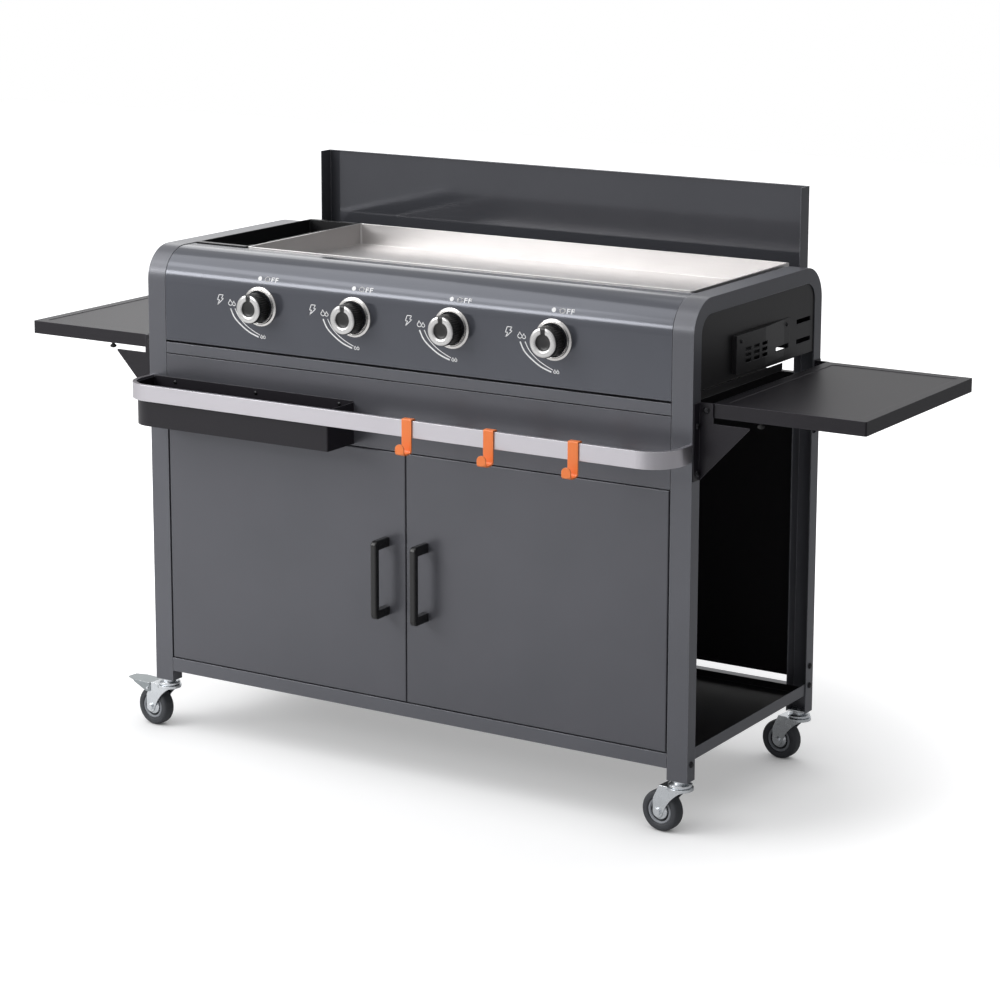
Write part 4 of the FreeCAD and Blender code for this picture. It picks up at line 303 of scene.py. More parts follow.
# Black heat-resistant coat inside the cabinet and on the firebox: a dull black depth.
BLACK_COAT = Finish("black_heat_coat", "#1c1b1d", "#171618", 0.38,
                    grain_mm=1.1, grain_depth=0.04, edge_highlight_colour="#4c4b50")
# Orange powder coat on the bent utensil hooks: the one bright colour, lightly satin.
HOOK_COAT = Finish("orange_powder_coat", "#ff8c48", "#fb823d", 0.36,
                   grain_mm=1.2, grain_depth=0.03, edge_highlight_colour="#ffb27e")
# Rolled stainless cooking plate, brushed along its length: fine streaks, soft glare.
PLATE_STEEL = Finish("brushed_stainless_plate", "#d7d5d4", "#ccc9c8", 0.42, 1.0,
                     grain=Grain.ALONG_X, grain_mm=1.6, grain_depth=0.05,
                     roughness_spread=0.06, edge_highlight_colour="#f3f2f0")
# Black enamel fired on the steel grease tray: deep black, with a painted highlight along its rims
# for the soft glints there.
TRAY_ENAMEL = Finish("dark_enamelled_tray", "#1b1b1c", "#161617", 0.35,
                     grain_mm=1.4, grain_depth=0.03, edge_highlight_colour="#4a4a4c")
# Satin anodised aluminium flat bar, drawn along its length: a pale, even gleam.
BAR_METAL = Finish("satin_anodised_aluminium", "#ccc9ce", "#c2bfc4", 0.36, 1.0,
                   grain=Grain.ALONG_X, grain_mm=1.4, grain_depth=0.03,
                   edge_highlight_colour="#ecebee")
# Chrome plate on pressed steel: bright and slightly soft, with a very slight ripple.
CHROME = Finish("chrome_plate", "#cfcdcb", "#c2c0be", 0.22, 1.0,
                grain_mm=3.0, grain_depth=0.01, roughness_spread=0.03)
# Zinc plate on pressed caster parts and pins: pale, slightly blue and uneven.
ZINC = Finish("zinc_plated_steel", "#e3e6e9", "#d0d4d8", 0.25, 1.0,
              grain_mm=2.0, grain_depth=0.03, patch_mm=20, edge_highlight_colour="#f4f6f8")
# Duller zinc on the foot pedals, greyer and darker than the other zinc parts.
PEDAL_ZINC = Finish("grey_zinc_pedal", "#a5abad", "#8f9597", 0.36, 1.0,
                    grain_mm=2.0, grain_depth=0.05, patch_mm=14, edge_highlight_colour="#d9dddf")
# Blackened steel of bolts and screws: dark, with a painted highlight on the edges of the heads
# for their small glints.
BLACKENED = Finish("blackened_steel", "#2b2b2d", "#242426", 0.32, 0.8,
                   grain_mm=1.0, grain_depth=0.03, patch_mm=10, edge_highlight_colour="#77777b")
# Rolled steel of the gas pipe and burners: grey brown, dull from heat.
BURNER_STEEL = Finish("dull_rolled_steel", "#8b8783", "#77736e", 0.45, 1.0,
                      grain_mm=2.0, grain_depth=0.08, patch_mm=40)
# Die-cast aluminium of the gas valves, lightly sandblasted: light grey and matt.
CAST_METAL = Finish("die_cast_aluminium", "#9d9ea0", "#8f9092", 0.5, 1.0,
                    grain_mm=0.9, grain_depth=0.1, patch_mm=30)
# Glazed ceramic sleeve of the igniter electrodes: cream with a wet gloss.
CERAMIC = Finish("glazed_ceramic", "#e6e2d8", "#dcd8cc", 0.25, patch_mm=10)
# Moulded black nylon of the knobs with a fine eroded texture: soft black, with thin painted
# highlights on the rib edges.
MOULDED_BLACK = Finish("moulded_black_nylon", "#141414", "#101010", 0.34,
                       grain_mm=0.8, grain_depth=0.04, edge_highlight_colour="#3a3a3c")
# Black powder coat on the bent door pulls: satin black with a painted highlight along its edges.
PULL_COAT = Finish("black_powder_coat", "#161617", "#121213", 0.3,
                   grain_mm=0.9, grain_depth=0.03, edge_highlight_colour="#3e3e41")
# Spun aluminium face ring pressed on the knob: pale, with fine turned streaks.
FACE_METAL = Finish("spun_aluminium_face", "#cdcccb", "#c1c0bf", 0.3, 1.0,
                    grain_mm=0.8, grain_depth=0.03, patch_mm=12, edge_highlight_colour="#fafaf9")
# Moulded grey polypropylene core of the wheels: plain, matt, light grey.
WHEEL_CORE = Finish("moulded_grey_polypropylene", "#9a9da2", "#8f9297", 0.45,
                    grain_mm=1.0, grain_depth=0.05, edge_highlight_colour="#b4b7bb")
# Recess moulded between that core's hub and rim: its dark ring is painted shade, standing for the
# shade that falls into the recess.
WHEEL_RECESS_SHADE = Finish("painted_recess_shade", "#2a2b2e", "#242528", 0.55,
                    grain_mm=1.0, grain_depth=0.05)
# Grey thermoplastic rubber tread: dark, matt, slightly dusty.
TREAD = Finish("grey_tread_rubber", "#3f4145", "#393b3f", 0.62,
               grain_mm=1.2, grain_depth=0.1, patch_mm=14, edge_highlight_colour="#55575b")
# Black rubber of the shelf buffers: dull, without a highlight.
BLACK_RUBBER = Finish("black_rubber", "#1e1e1f", "#1a1a1b", 0.7, grain_mm=0.9,
                      grain_depth=0.1, patch_mm=10)
# White pad-printed ink of the signs round the knobs: flat and crisp.
PRINT_INK = Finish("white_pad_print", "#f6f6f6", "#efefef", 0.5, patch_mm=8,
                   grain_mm=0.8, grain_depth=0.02)

NODE_FINISHES: dict[Finish, tuple[str, ...]] = {
    FRAME_COAT: ("left_hoop", "right_hoop", "cross_strip", "cross_rails", "side_rails"),
    PANEL_COAT: ("control_panel",),
    SHADED_SPLASH_COAT: ("backsplash",),
    DOOR_COAT: ("left_door", "right_door", "front_fascia"),
    SHELF_COAT: ("left_shelf", "right_shelf", "shelf_brackets", "condiment_tray"),
    BLACK_COAT: ("firebox", "vent_covers", "heat_shield", "bottom_shelf", "back_panel"),
    HOOK_COAT: ("hook_1", "hook_2", "hook_3"),
    PLATE_STEEL: ("griddle_plate",),
    TRAY_ENAMEL: ("grease_tray",),
    BAR_METAL: ("towel_bar",),
    CHROME: ("knob_bezels",),
    ZINC: ("caster_plates", "door_hinge_pins", "plate_feet",
           "caster_fork_1", "caster_fork_2", "caster_fork_3", "caster_fork_4"),
    PEDAL_ZINC: ("brake_pedal_1", "brake_pedal_2"),
    BLACKENED: ("panel_screws", "frame_bolts"),
    BURNER_STEEL: ("burner_tubes", "gas_manifold"),
    CAST_METAL: ("gas_valves", "valve_stem_1", "valve_stem_2", "valve_stem_3", "valve_stem_4"),
    CERAMIC: ("igniter_electrodes",),
    PULL_COAT: ("left_handle", "right_handle", "door_catch"),
    BLACK_RUBBER: ("left_shelf_buffers", "right_shelf_buffers"),
}


def new_piece(name: str, mesh: bpy.types.Mesh, *finishes: Finish) -> bpy.types.Object:
    """Puts a mesh in the scene as a named piece.

    Args:
        name: the piece's name.
        mesh: its mesh, in metres in the station's frame.
        finishes: one finish per material slot.

    Returns:
        The new object.
    """
    piece = bpy.data.objects.new(name, mesh)
    bpy.context.scene.collection.objects.link(piece)
    for finish in finishes:
        mesh.materials.append(finish.material())
    return piece


def lathe(
    form: bmesh.types.BMesh,
    profile: list[Point],
    slot: int,
    steps: int = 64,
    ripple: tuple[int, float] = (0, 0.0),
    ripple_rows: tuple[int, ...] = (),
) -> None:
    """Turns a profile round the Y axis and adds it to a form.

    Args:
        form: the mesh under construction.
        profile: points as (radius, place along Y) in metres, ends on the axis where closed.
        slot: material slot of the new faces.
        steps: sides of the turned form.
        ripple: number of grip ribs and their depth in metres.
        ripple_rows: profile points that carry the ribs.
    """
    rows = []
    count, depth = ripple
    for index, (radius, along) in enumerate(profile):
        if radius < ON_AXIS:
            rows.append([form.verts.new((0, along, 0))])
            continue
        row = []
        for step in range(steps):
            angle = FULL_TURN * step / steps
            reach = radius
            if index in ripple_rows:
                reach -= depth * (0.5 - 0.5 * math.cos(count * angle)) ** 2
            row.append(form.verts.new((reach * math.cos(angle), along, reach * math.sin(angle))))
        rows.append(row)
    for first, second in zip(rows, rows[1:]):
        for step in range(steps):
            after = (step + 1) % steps
            corners = [first[step % len(first)], first[after % len(first)],
                       second[after % len(second)], second[step % len(second)]]
            distinct = list(dict.fromkeys(corners))
            if len(distinct) > 2:
                face = form.faces.new(distinct)
                face.material_index = slot
                face.smooth = True


def finish_mesh(form: bmesh.types.BMesh, name: str) -> bpy.types.Mesh:
    """Closes a form into a mesh with its faces turned outwards.

    Args:
        form: the mesh under construction, freed here.
        name: name of the mesh.

    Returns:
        The finished mesh.
    """
    bmesh.ops.recalc_face_normals(form, faces=form.faces)
    mesh = bpy.data.meshes.new(name)
    form.to_mesh(mesh)
    form.free()
    return mesh


@dataclass
class KnobRow:
    """The row of gas knobs: ribbed black bodies, spun face rings with a pointer slot."""

    count: int = 4
    middle: float = -5.5 * MM
    pitch: float = 208 * MM
    level: float = 846 * MM
    radius: float = 27 * MM
    back: float = 7 * MM
    length: float = 29.5 * MM
    ring_inner: float = 14.8 * MM
    ring_rise: float = 1.2 * MM
    slot_width: float = 9.2 * MM
    edge: float = 1.0 * MM
    ring_margin: float = 1.3 * MM
    ring_edge: float = 0.5 * MM
    ring_steps: int = 96
    ribs: int = 36
    rib_steps: int = 8
    rib_depth: float = 1.3 * MM

    def axis(self, number: int) -> Vector:
        """Place of a knob's axis on the control panel's face.

        Args:
            number: knob, counted from 0 at the left.

        Returns:
            The point in the station's frame.
        """
        across = self.middle + (number - (self.count - 1) / 2) * self.pitch
        return Vector((across, FRONT, self.level))

    def body_mesh(self) -> bpy.types.Mesh:
        """Makes one knob round the Y axis, its face towards the cook.

        Returns:
            The mesh, with one slot per part of the knob.
        """
        form = bmesh.new()
        front = -(self.back + self.length)
        profile = [
            (0.0, -self.back),
            (self.radius - self.edge, -self.back),
            (self.radius, -self.back - self.edge),
            (self.radius, front + 5 * MM),
            (self.radius, front + 4 * MM),
            (self.radius - 0.3 * MM, front + 1.2 * MM),
            (self.radius - 1.4 * MM, front),
            (self.ring_inner, front),
            (self.ring_inner - 0.6 * MM, front + 0.8 * MM),
            (self.ring_inner * 0.5, front + 1.4 * MM),
            (0.0, front + 1.6 * MM),
        ]
        lathe(form, profile, KnobPart.MOULDING, steps=self.ribs * self.rib_steps,
              ripple=(self.ribs, self.rib_depth), ripple_rows=(1, 2, 3))
        self.add_ring(form, front)
        return finish_mesh(form, "knob")

    def add_ring(self, form: bmesh.types.BMesh, front: float) -> None:
        """Adds the open face ring with its pointer slot at the top.

        Args:
            form: the mesh under construction.
            front: place of the knob's face along Y.
        """
        outer = self.radius - self.ring_margin
        shoulder = front - self.ring_rise * 0.6
        top = front - self.ring_rise
        rows: list[list[bmesh.types.BMVert]] = []
        section = [
            (outer, front),
            (outer, shoulder),
            (outer - self.ring_edge, top),
            (self.ring_inner + self.ring_edge, top),
            (self.ring_inner, shoulder),
            (self.ring_inner, front),
        ]
        for radius, along in section:
            half = math.asin(self.slot_width / 2 / radius)
            start = math.pi / 2 + half
            sweep = FULL_TURN - 2 * half
            row = []
            for step in range(self.ring_steps + 1):
                angle = start + sweep * step / self.ring_steps
                row.append(form.verts.new((radius * math.cos(angle), along,
                                           radius * math.sin(angle))))
            rows.append(row)
        for first, second in zip(rows, rows[1:]):
            for step in range(self.ring_steps):
                face = form.faces.new([first[step], first[step + 1],
                                       second[step + 1], second[step]])
                face.material_index = KnobPart.RING
                face.smooth = True
        for step in (0, self.ring_steps):
            form.faces.new([row[step] for row in rows]).material_index = KnobPart.RING

    def build(self) -> None:
        """Makes the knobs in place of the plain ones."""
        for number in range(self.count):
            mesh = self.body_mesh()
            mesh.transform(Matrix.Translation(self.axis(number)))
            node = f"knob_{number + 1}"
            piece = new_piece(f"{node}_dressed", mesh, MOULDED_BLACK, FACE_METAL)
            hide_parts(node)
            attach(piece, node)
            LOG.info("%s made", piece.name)


def between(before: float, start: float, stop: float, after: float, share: float) -> float:
    """Smooth value between two stations, led by the ones beside them.

    Args:
        before: the station before the start.
        start: value where the share is 0.
        stop: value where the share is 1.
        after: the station after the stop.
        share: how far along, from 0 to 1.

    Returns:
        The value there.
    """
    slope = stop - before
    bow = 2 * before - 5 * start + 4 * stop - after
    twist = 3 * start - 3 * stop + after - before
    return start + 0.5 * share * (slope + share * (bow + share * twist))


@dataclass
class KnobMarkings:
    """White printed signs round each knob: OFF dot and word, spark, flames, two arcs."""

    knobs: KnobRow
    bend: float = 61 * MM
    bend_start: float = 874 * MM
    ink: float = 0.12 * MM
    # Level cuts through the print from the bend's start up, so that it follows the bend.
    rows: int = 16
    row_height: float = 2 * MM
    dot: Point = (-2.6 * MM, 51.6 * MM)
    dot_radius: float = 4.2 * MM
    word: Point = (8.4 * MM, 46.8 * MM)
    word_width: float = 30 * MM
    letter_height: float = 9.2 * MM
    letter_spacing: float = 1.15
    letter_weight: float = 0.02
    spark_foot: Point = (-97.5 * MM, -3 * MM)
    # Corners in millimetres from that foot.
    spark: tuple[Point, ...] = (
        (4, 17), (13.5, 17), (9, 10.5), (14, 10.5), (0, -2), (5, 7), (0, 7), (4, 17),
    )
    # Corners as shares of the flame's height.
    flame_shape: tuple[Point, ...] = (
        (0.0, 0.0), (-0.3, 0.12), (-0.4, 0.38), (-0.2, 0.62), (-0.02, 1.0),
        (0.1, 0.7), (0.3, 0.55), (0.38, 0.32), (0.28, 0.1), (0.0, 0.0),
    )
    # Arcs, and the foot and height of each flame, in millimetres from the knob's axis.
    thick_arc: tuple[Point, ...] = (
        (-67.5, -9.7), (-59.2, -25), (-44.8, -37.8), (-25.5, -49.6), (-4.3, -57),
    )
    thin_arc: tuple[Point, ...] = (
        (-57.5, -8.8), (-48.8, -23.3), (-33.5, -37), (-16.3, -46.8), (-1.2, -53),
    )
    high_flames: tuple[tuple[Point, float], ...] = (((-68.0, -4), 11.5), ((-59.8, -4), 9))
    low_flames: tuple[tuple[Point, float], ...] = (((2.5, -58.5), 6.5), ((8.5, -58.5), 6.5))
    thick: float = 2.8 * MM
    thin: float = 1.6 * MM
    sign_line: float = 1.5 * MM
    small_sign_line: float = 1.8 * MM

    def wrapped(self, x: float, z: float, lift: float) -> Vector:
        """Lays a point on the control panel's face and rolled top.

        Args:
            x: place across, in metres.
            z: height measured up the unrolled face, in metres.
            lift: distance off the surface.

        Returns:
            The point in the station's frame.
        """
        over = z - self.bend_start
        if over <= 0:
            return Vector((x, FRONT - lift, z))
        angle = over / self.bend
        reach = self.bend + lift
        return Vector((x, FRONT + self.bend - reach * math.cos(angle),
                       self.bend_start + reach * math.sin(angle)))

    def letters(self, words: str) -> list[list[Point]]:
        """Triangles of printed words, starting at the origin.

        Args:
            words: what is printed.

        Returns:
            Flat faces as lists of (x, z), as wide and high as the print.
        """
        curve = bpy.data.curves.new("printed_words", "FONT")
        curve.body = words
        curve.space_character = self.letter_spacing
        curve.offset = self.letter_weight
        carrier = bpy.data.objects.new("printed_words", curve)
        mesh = bpy.data.meshes.new_from_object(carrier)
        points = [vertex.co.copy() for vertex in mesh.vertices]
        left = min(point.x for point in points)
        foot = min(point.y for point in points)
        wide = self.word_width / (max(point.x for point in points) - left)
        high = self.letter_height / (max(point.y for point in points) - foot)
        faces = [
            [((points[index].x - left) * wide, (points[index].y - foot) * high)
             for index in face.vertices]
            for face in mesh.polygons
        ]
        bpy.data.objects.remove(carrier)
        bpy.data.curves.remove(curve)
        bpy.data.meshes.remove(mesh)
        return faces

    def disc(self, x: float, z: float, radius: float, steps: int = 24) -> list[Point]:
        """Outline of a printed dot.

        Args:
            x: middle across.
            z: middle up the face.
            radius: its radius in metres.
            steps: corners.

        Returns:
            The outline as (x, z).
        """
        return [
            (x + radius * math.cos(FULL_TURN * step / steps),
             z + radius * math.sin(FULL_TURN * step / steps))
            for step in range(steps)
        ]

    def strokes(self, foot: Point, path: list[Point], width: float) -> list[list[Point]]:
        """A thin line along a path, as short quads.

        Args:
            foot: place of the path's origin, across and up the face.
            path: points relative to that origin, in metres.
            width: width of the line.

        Returns:
            The quads as lists of (x, z).
        """
        x, z = foot
        quads = []
        for (ax, az), (bx, bz) in zip(path, path[1:]):
            run = math.hypot(bx - ax, bz - az)
            nx, nz = -(bz - az) / run * width / 2, (bx - ax) / run * width / 2
            quads.append([(x + ax + nx, z + az + nz), (x + ax - nx, z + az - nz),
                          (x + bx - nx, z + bz - nz), (x + bx + nx, z + bz + nz)])
        return quads

    def curved(self, stations: tuple[Point, ...], steps: int = 8) -> list[Point]:
        """Smooth path through the stations of an arc.

        Args:
            stations: points in millimetres from the knob's axis.
            steps: short lines between two stations.

        Returns:
            Points in metres from the knob's axis.
        """
        ends = [stations[0], *stations, stations[-1]]
        path = []
        for before, start, stop, after in zip(ends, ends[1:], ends[2:], ends[3:]):
            for step in range(steps):
                share = step / steps
                path.append(tuple(
                    MM * between(before[side], start[side], stop[side], after[side], share)
                    for side in (0, 1)
                ))
        path.append((MM * stations[-1][0], MM * stations[-1][1]))
        return path

    def flames(
        self, signs: tuple[tuple[Point, float], ...], width: float
    ) -> list[list[Point]]:
        """Outlines of small flame signs.

        Args:
            signs: each flame's foot and height, in millimetres.
            width: width of the line.

        Returns:
            The quads as lists of (x, z).
        """
        quads = []
        for (across, up), height in signs:
            size = height * MM
            outline = [(size * out, size * rise) for out, rise in self.flame_shape]
            quads += self.strokes((across * MM, up * MM), outline, width)
        return quads

    def faces(self) -> list[list[Point]]:
        """Every printed face round one knob, relative to its axis.

        Returns:
            Flat faces as lists of (x, z).
        """
        axis = (0.0, 0.0)
        spark = [(across * MM, up * MM) for across, up in self.spark]
        word = [
            [(across + self.word[0], up + self.word[1]) for across, up in face]
            for face in self.letters("OFF")
        ]
        return [
            self.disc(*self.dot, self.dot_radius),
            *word,
            *self.strokes(self.spark_foot, spark, self.sign_line),
            *self.flames(self.high_flames, self.sign_line),
            *self.strokes(axis, self.curved(self.thick_arc), self.thick),
            *self.strokes(axis, self.curved(self.thin_arc), self.thin),
            *self.flames(self.low_flames, self.small_sign_line),
        ]

    def build(self) -> None:
        """Prints the signs beside every knob."""
        for number in range(self.knobs.count):
            axis = self.knobs.axis(number)
            form = bmesh.new()
            for face in self.faces():
                form.faces.new([form.verts.new((axis.x + x, 0, axis.z + z)) for x, z in face])
            for row in range(self.rows):
                bmesh.ops.bisect_plane(
                    form,
                    geom=form.verts[:] + form.edges[:] + form.faces[:],
                    plane_co=(0, 0, self.bend_start + row * self.row_height),
                    plane_no=(0, 0, 1),
                )
            for vertex in form.verts:
                vertex.co = self.wrapped(vertex.co.x, vertex.co.z, self.ink)
            mesh = finish_mesh(form, "knob_signs")
            piece = new_piece(f"knob_signs_{number + 1}", mesh, PRINT_INK)
            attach(piece, "station")
            LOG.info("%s made", piece.name)


@dataclass
class Casters:
    """Wheels of the four casters: bright hub discs, grey cores and rounded treads."""

    across: float = 557.5 * MM
    places: tuple[float, float] = (14 * MM, 476 * MM)
    trail: float = 36 * MM
    heading: float = math.radians(174)
    radius: float = 37 * MM
    width: float = 25 * MM
    core_half: float = 10.5 * MM
    web_half: float = 6.5 * MM
    rim: float = 23.5 * MM
    well: float = 19 * MM
    disc: float = 15.5 * MM
    hub: float = 8 * MM
    hub_half: float = 13.8 * MM
    bore: float = 4.1 * MM
    steps: int = 72

    def wheel_mesh(self) -> bpy.types.Mesh:
        """Makes one wheel round the Y axis.

        Returns:
            The mesh, with one slot per part of the wheel.
        """
        form = bmesh.new()
        half = self.width / 2
        shoulder = [
            (self.rim, self.core_half - 1 * MM),
            (self.rim + 0.6 * MM, self.core_half + 0.6 * MM),
            (self.rim + 2 * MM, half - 0.3 * MM),
            (self.rim + 3.6 * MM, half),
            (self.radius - 5 * MM, half),
            (self.radius - 2.6 * MM, half - 0.9 * MM),
            (self.radius - 1 * MM, half - 3 * MM),
            (self.radius - 0.2 * MM, half - 6 * MM),
            (self.radius, 2 * MM),
        ]
        far_shoulder = [(out, -along) for out, along in reversed(shoulder)]
        lathe(form, shoulder + far_shoulder, WheelPart.TREAD, steps=self.steps)
        rings = {
            WheelPart.CORE: [
                (self.well, self.web_half + 1 * MM),
                (self.well + 0.4 * MM, self.core_half),
                (self.rim - 0.8 * MM, self.core_half + 0.3 * MM),
                (self.rim, self.core_half - 1 * MM),
            ],
            # The recess slot takes the painted shade of the hollow between hub and rim.
            WheelPart.RECESS: [
                (self.disc, self.web_half),
                (self.well, self.web_half),
                (self.well, self.web_half + 1 * MM),
            ],
            WheelPart.HUB: [
                (self.bore, self.hub_half),
                (self.hub, self.hub_half),
                (self.hub, self.core_half + 0.8 * MM),
                (self.disc - 1.5 * MM, self.core_half),
                (self.disc, self.core_half - 1 * MM),
                (self.disc, self.web_half),
            ],
        }
        for slot, ring in rings.items():
            far_ring = [(out, -along) for out, along in ring]
            lathe(form, ring, slot, steps=self.steps)
            lathe(form, far_ring, slot, steps=self.steps)
        return finish_mesh(form, "caster_wheel")

    def build(self) -> None:
        """Makes the wheels in place of the plain ones."""
        number = 0
        for side in (1, -1):
            for back in self.places:
                number += 1
                mesh = self.wheel_mesh()
                turn = Matrix.Rotation(self.heading, 4, "Z")
                middle = Vector((side * self.across, FRONT + back, self.radius))
                middle += turn @ Vector((self.trail, 0, 0))
                mesh.transform(Matrix.Translation(middle) @ turn)
                node = f"caster_wheel_{number}"
                piece = new_piece(f"{node}_dressed", mesh, TREAD, WHEEL_CORE, WHEEL_RECESS_SHADE, ZINC)
                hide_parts(node)
                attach(piece, node)
                LOG.info("%s made", piece.name)


@dataclass(frozen=True)
class SoftBox:
    """One soft lamp, turned to the middle of the station."""

    name: str
    place: Place
    size: Point
    power: float
    aim: Place = (0, 0, 0.55)

    def hang(self) -> None:
        """Hangs the lamp in the scene."""
        lamp = bpy.data.lights.new(self.name, "AREA")
        lamp.shape = "RECTANGLE"
        lamp.size, lamp.size_y = self.size
        lamp.energy = self.power
        holder = bpy.data.objects.new(self.name, lamp)
        holder.location = self.place
        towards = Vector(self.aim) - Vector(self.place)
        holder.rotation_euler = towards.to_track_quat("-Z", "Y").to_euler()
        bpy.context.scene.collection.objects.link(holder)


@dataclass
class Viewpoint:
    """The camera, where the photograph was taken; angles in degrees, focal in picture widths."""

    place: Place = (2.7735, -4.3513, 1.7285)
    yaw: float = 31.850
    pitch: float = 11.178
    roll: float = 0.132
    focal: float = 2.8620
    shift: float = -0.12
    sensor: float = 36.0
    reach: float = 60

    def build(self) -> None:
        """Places the camera at the photograph's viewing angle."""
        lens = bpy.data.cameras.new("camera")
        lens.sensor_width = self.sensor
        lens.lens = self.focal * self.sensor
        lens.shift_y = self.shift
        lens.clip_end = self.reach
        camera = bpy.data.objects.new("camera", lens)
        camera.location = self.place
        tilt = Matrix.Rotation(math.radians(self.yaw), 4, "Z")
        tilt = tilt @ Matrix.Rotation(math.radians(90 - self.pitch), 4, "X")
        tilt = tilt @ Matrix.Rotation(math.radians(self.roll), 4, "Z")
        camera.rotation_euler = tilt.to_euler()
        bpy.context.scene.collection.objects.link(camera)
        bpy.context.scene.camera = camera


def seen_share(
    tree: bpy.types.NodeTree, mirrored: bpy.types.NodeSocket
) -> bpy.types.NodeSocket:
    """How much of the white background a ray sees.

    Args:
        tree: the floor's or world's node tree.
        mirrored: share for rays that come by way of metal, paint or glass.

    Returns:
        An output that is 1 for the camera's own rays.
    """
    path = add_node(tree, "ShaderNodeLightPath").outputs
    by_way = add_node(
        tree,
        "ShaderNodeMath",
        operation="MAXIMUM",
        links={0: path["Is Glossy Ray"], 1: path["Is Transmission Ray"]},
    ).outputs["Value"]
    faded = add_node(
        tree, "ShaderNodeMath", operation="MULTIPLY", links={0: by_way, 1: mirrored}
    ).outputs["Value"]
    return add_node(
        tree,
        "ShaderNodeMath",
        operation="MAXIMUM",
        links={0: path["Is Camera Ray"], 1: faded},
    ).outputs["Value"]


@dataclass
class Sky:
    """Pale surround: white to the camera, softer and darker to the right for the light."""

    colour: str = "#fbfcff"
    light_side: Place = (-0.6, -0.45, 0.66)
    light_span: Point = (-0.6, 0.9)
    light_levels: Point = (0.08, 0.62)
    mirror_side: Place = (-0.8, 0.1, 0.6)
    mirror_span: Point = (-0.3, 0.6)
    mirror_levels: Point = (0.04, 0.7)

    def towards(
        self, tree: bpy.types.NodeTree, facing: bpy.types.NodeSocket, side: Place
    ) -> bpy.types.NodeSocket:
        """How far a direction turns to one side of the sky.

        Args:
            tree: the world's node tree.
            facing: output with the direction.
            side: the side, as a vector.

        Returns:
            The product of the two.
        """
        return add_node(
            tree,
            "ShaderNodeVectorMath",
            operation="DOT_PRODUCT",
            sockets={1: side},
            links={0: facing},
        ).outputs["Value"]

    def build(self) -> None:
        """Makes the world."""
        world = bpy.data.worlds.new("studio")
        world.use_nodes = True
        tree = world.node_tree
        tree.nodes.clear()
        facing = add_node(tree, "ShaderNodeTexCoord").outputs["Generated"]
        lit = self.towards(tree, facing, self.light_side)
        level = ramp(tree, lit, self.light_span, self.light_levels)
        leftwards = self.towards(tree, facing, self.mirror_side)
        mirrored = ramp(tree, leftwards, self.mirror_span, self.mirror_levels)
        soft = add_node(
            tree,
            "ShaderNodeBackground",
            sockets={"Color": linear(self.colour)},
            links={"Strength": level},
        ).outputs["Background"]
        white = add_node(
            tree, "ShaderNodeBackground", sockets={"Color": (1, 1, 1, 1), "Strength": 1.0}
        ).outputs["Background"]
        mixed = add_node(
            tree, "ShaderNodeMixShader", links={0: seen_share(tree, mirrored), 1: soft, 2: white}
        ).outputs["Shader"]
        add_node(tree, "ShaderNodeOutputWorld", links={"Surface": mixed})
        bpy.context.scene.world = world


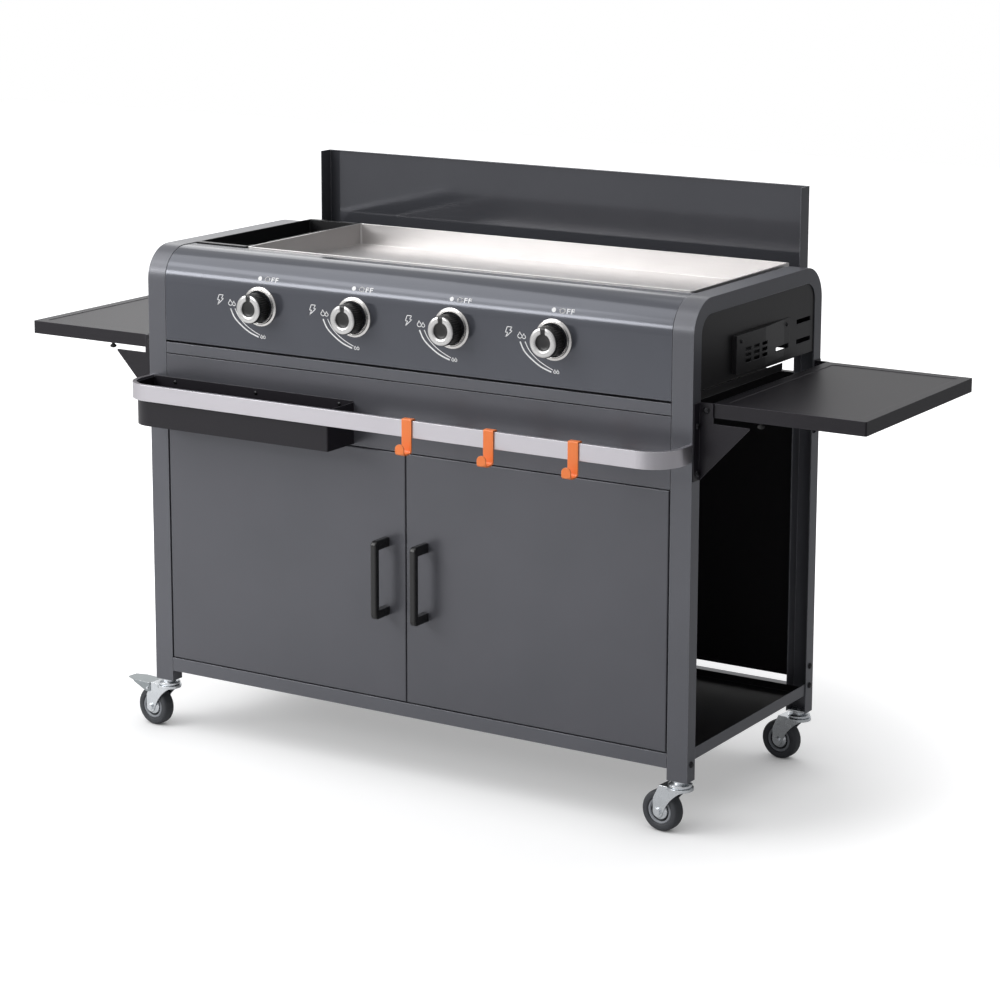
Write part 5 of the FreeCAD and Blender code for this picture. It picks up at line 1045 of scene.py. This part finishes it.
@dataclass
class Floor:
    """Pale painted floor, a little brighter to the camera so that it meets the sky."""

    reach: float = 9.0
    colour: str = "#d9d9d9"
    roughness: float = 0.85
    grain: float = 1 / 900
    grain_depth: float = 0.5 * MM
    grain_strength: float = 0.02
    mirror_span: Point = (1.2, -0.8)
    mirror_levels: Point = (0.03, 0.4)
    white_span: Point = (0.6, 1.3)
    white_levels: Point = (0.5, 1.0)
    # Reach and samples of the painted contact shadow.
    contact_shade_reach: float = 0.16
    contact_shade_samples: int = 8

    def white_level(
        self, tree: bpy.types.NodeTree, place: bpy.types.NodeSocket
    ) -> bpy.types.NodeSocket:
        """White glow added for the camera: weaker near the station so that its real shadow shows,
        and darkened where pieces touch down, which is a painted contact shadow.

        Args:
            tree: the floor paint's node tree.
            place: output with the place on the floor.

        Returns:
            The strength of the added white.
        """
        across = add_node(tree, "ShaderNodeSeparateXYZ", links={"Vector": place}).outputs["X"]
        mirrored = ramp(tree, across, self.mirror_span, self.mirror_levels)
        away = add_node(
            tree, "ShaderNodeVectorMath", operation="LENGTH", links={"Vector": place}
        ).outputs["Value"]
        spread = ramp(
            tree, away, self.white_span, self.white_levels, interpolation_type="SMOOTHSTEP"
        )
        # Painted contact shadow: the occlusion term darkens the glow where pieces stand close
        # over the floor.
        painted_contact_shade = add_node(
            tree,
            "ShaderNodeAmbientOcclusion",
            sockets={"Distance": self.contact_shade_reach},
            samples=self.contact_shade_samples,
        ).outputs["AO"]
        shown = add_node(
            tree, "ShaderNodeMath", operation="MULTIPLY", links={0: spread, 1: painted_contact_shade}
        ).outputs["Value"]
        return add_node(
            tree,
            "ShaderNodeMath",
            operation="MULTIPLY",
            links={0: shown, 1: seen_share(tree, mirrored)},
        ).outputs["Value"]

    def paint(self) -> bpy.types.Material:
        """Makes the matt floor paint.

        Returns:
            The material.
        """
        material = bpy.data.materials.new("studio_floor_paint")
        material.use_nodes = True
        tree = material.node_tree
        tree.nodes.clear()
        place = add_node(tree, "ShaderNodeTexCoord").outputs["Object"]
        relief = add_node(
            tree,
            "ShaderNodeBump",
            sockets={"Strength": self.grain_strength, "Distance": self.grain_depth},
            links={"Height": noise(tree, place, self.grain)},
        ).outputs["Normal"]
        shader = add_node(
            tree,
            "ShaderNodeBsdfPrincipled",
            sockets={"Base Color": linear(self.colour), "Roughness": self.roughness,
                     "Emission Color": (1, 1, 1, 1)},
            links={"Normal": relief, "Emission Strength": self.white_level(tree, place)},
        )
        add_node(tree, "ShaderNodeOutputMaterial", links={"Surface": shader.outputs["BSDF"]})
        return material

    def build(self) -> None:
        """Lays the floor."""
        form = bmesh.new()
        corners = [(-1, -1), (1, -1), (1, 1), (-1, 1)]
        form.faces.new([form.verts.new((x * self.reach, y * self.reach, 0)) for x, y in corners])
        mesh = finish_mesh(form, "floor")
        mesh.materials.append(self.paint())
        floor = bpy.data.objects.new("floor", mesh)
        bpy.context.scene.collection.objects.link(floor)


@dataclass
class Studio:
    """Pale photo studio: camera, soft boxes, sky and floor."""

    lamps: tuple[SoftBox, ...] = (
        SoftBox("overhead", (0.3, 0.1, 3.3), (3.0, 2.0), 10.0),
        SoftBox("upper_left", (-1.7, -1.2, 3.1), (2.6, 2.0), 30.0),
        SoftBox("front_left", (-2.2, -2.35, 2.7), (2.6, 1.2), 20.0),
        SoftBox("front_strip", (-2.5, -3.3, 2.05), (2.6, 0.62), 44.0),
        SoftBox("rear_left", (-2.2, 2.6, 2.4), (1.8, 1.6), 10.0),
    )

    def build(self) -> None:
        """Sets up camera, lamps, sky and floor."""
        Viewpoint().build()
        for lamp in self.lamps:
            lamp.hang()
        Sky().build()
        Floor().build()
        bpy.context.scene.view_settings.view_transform = "Standard"
        LOG.info("studio made")


def dress_nodes(nodes: dict[str, bpy.types.Object]) -> None:
    """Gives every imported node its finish.

    Args:
        nodes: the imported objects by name.
    """
    for finish, names in NODE_FINISHES.items():
        for name in names:
            if name not in nodes:
                LOG.warning("no node %s", name)
                continue
            mesh = nodes[name].data
            mesh.materials.clear()
            mesh.materials.append(finish.material())
    LOG.info("nodes dressed")


def main() -> None:
    """Builds the looks of the whole station in order."""
    logging.basicConfig(level=logging.INFO, format="%(message)s")
    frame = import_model()
    Studio().build()
    dress_nodes(frame["nodes"])
    knobs = KnobRow()
    knobs.build()
    KnobMarkings(knobs).build()
    Casters().build()


if __name__ == "__main__":
    main()
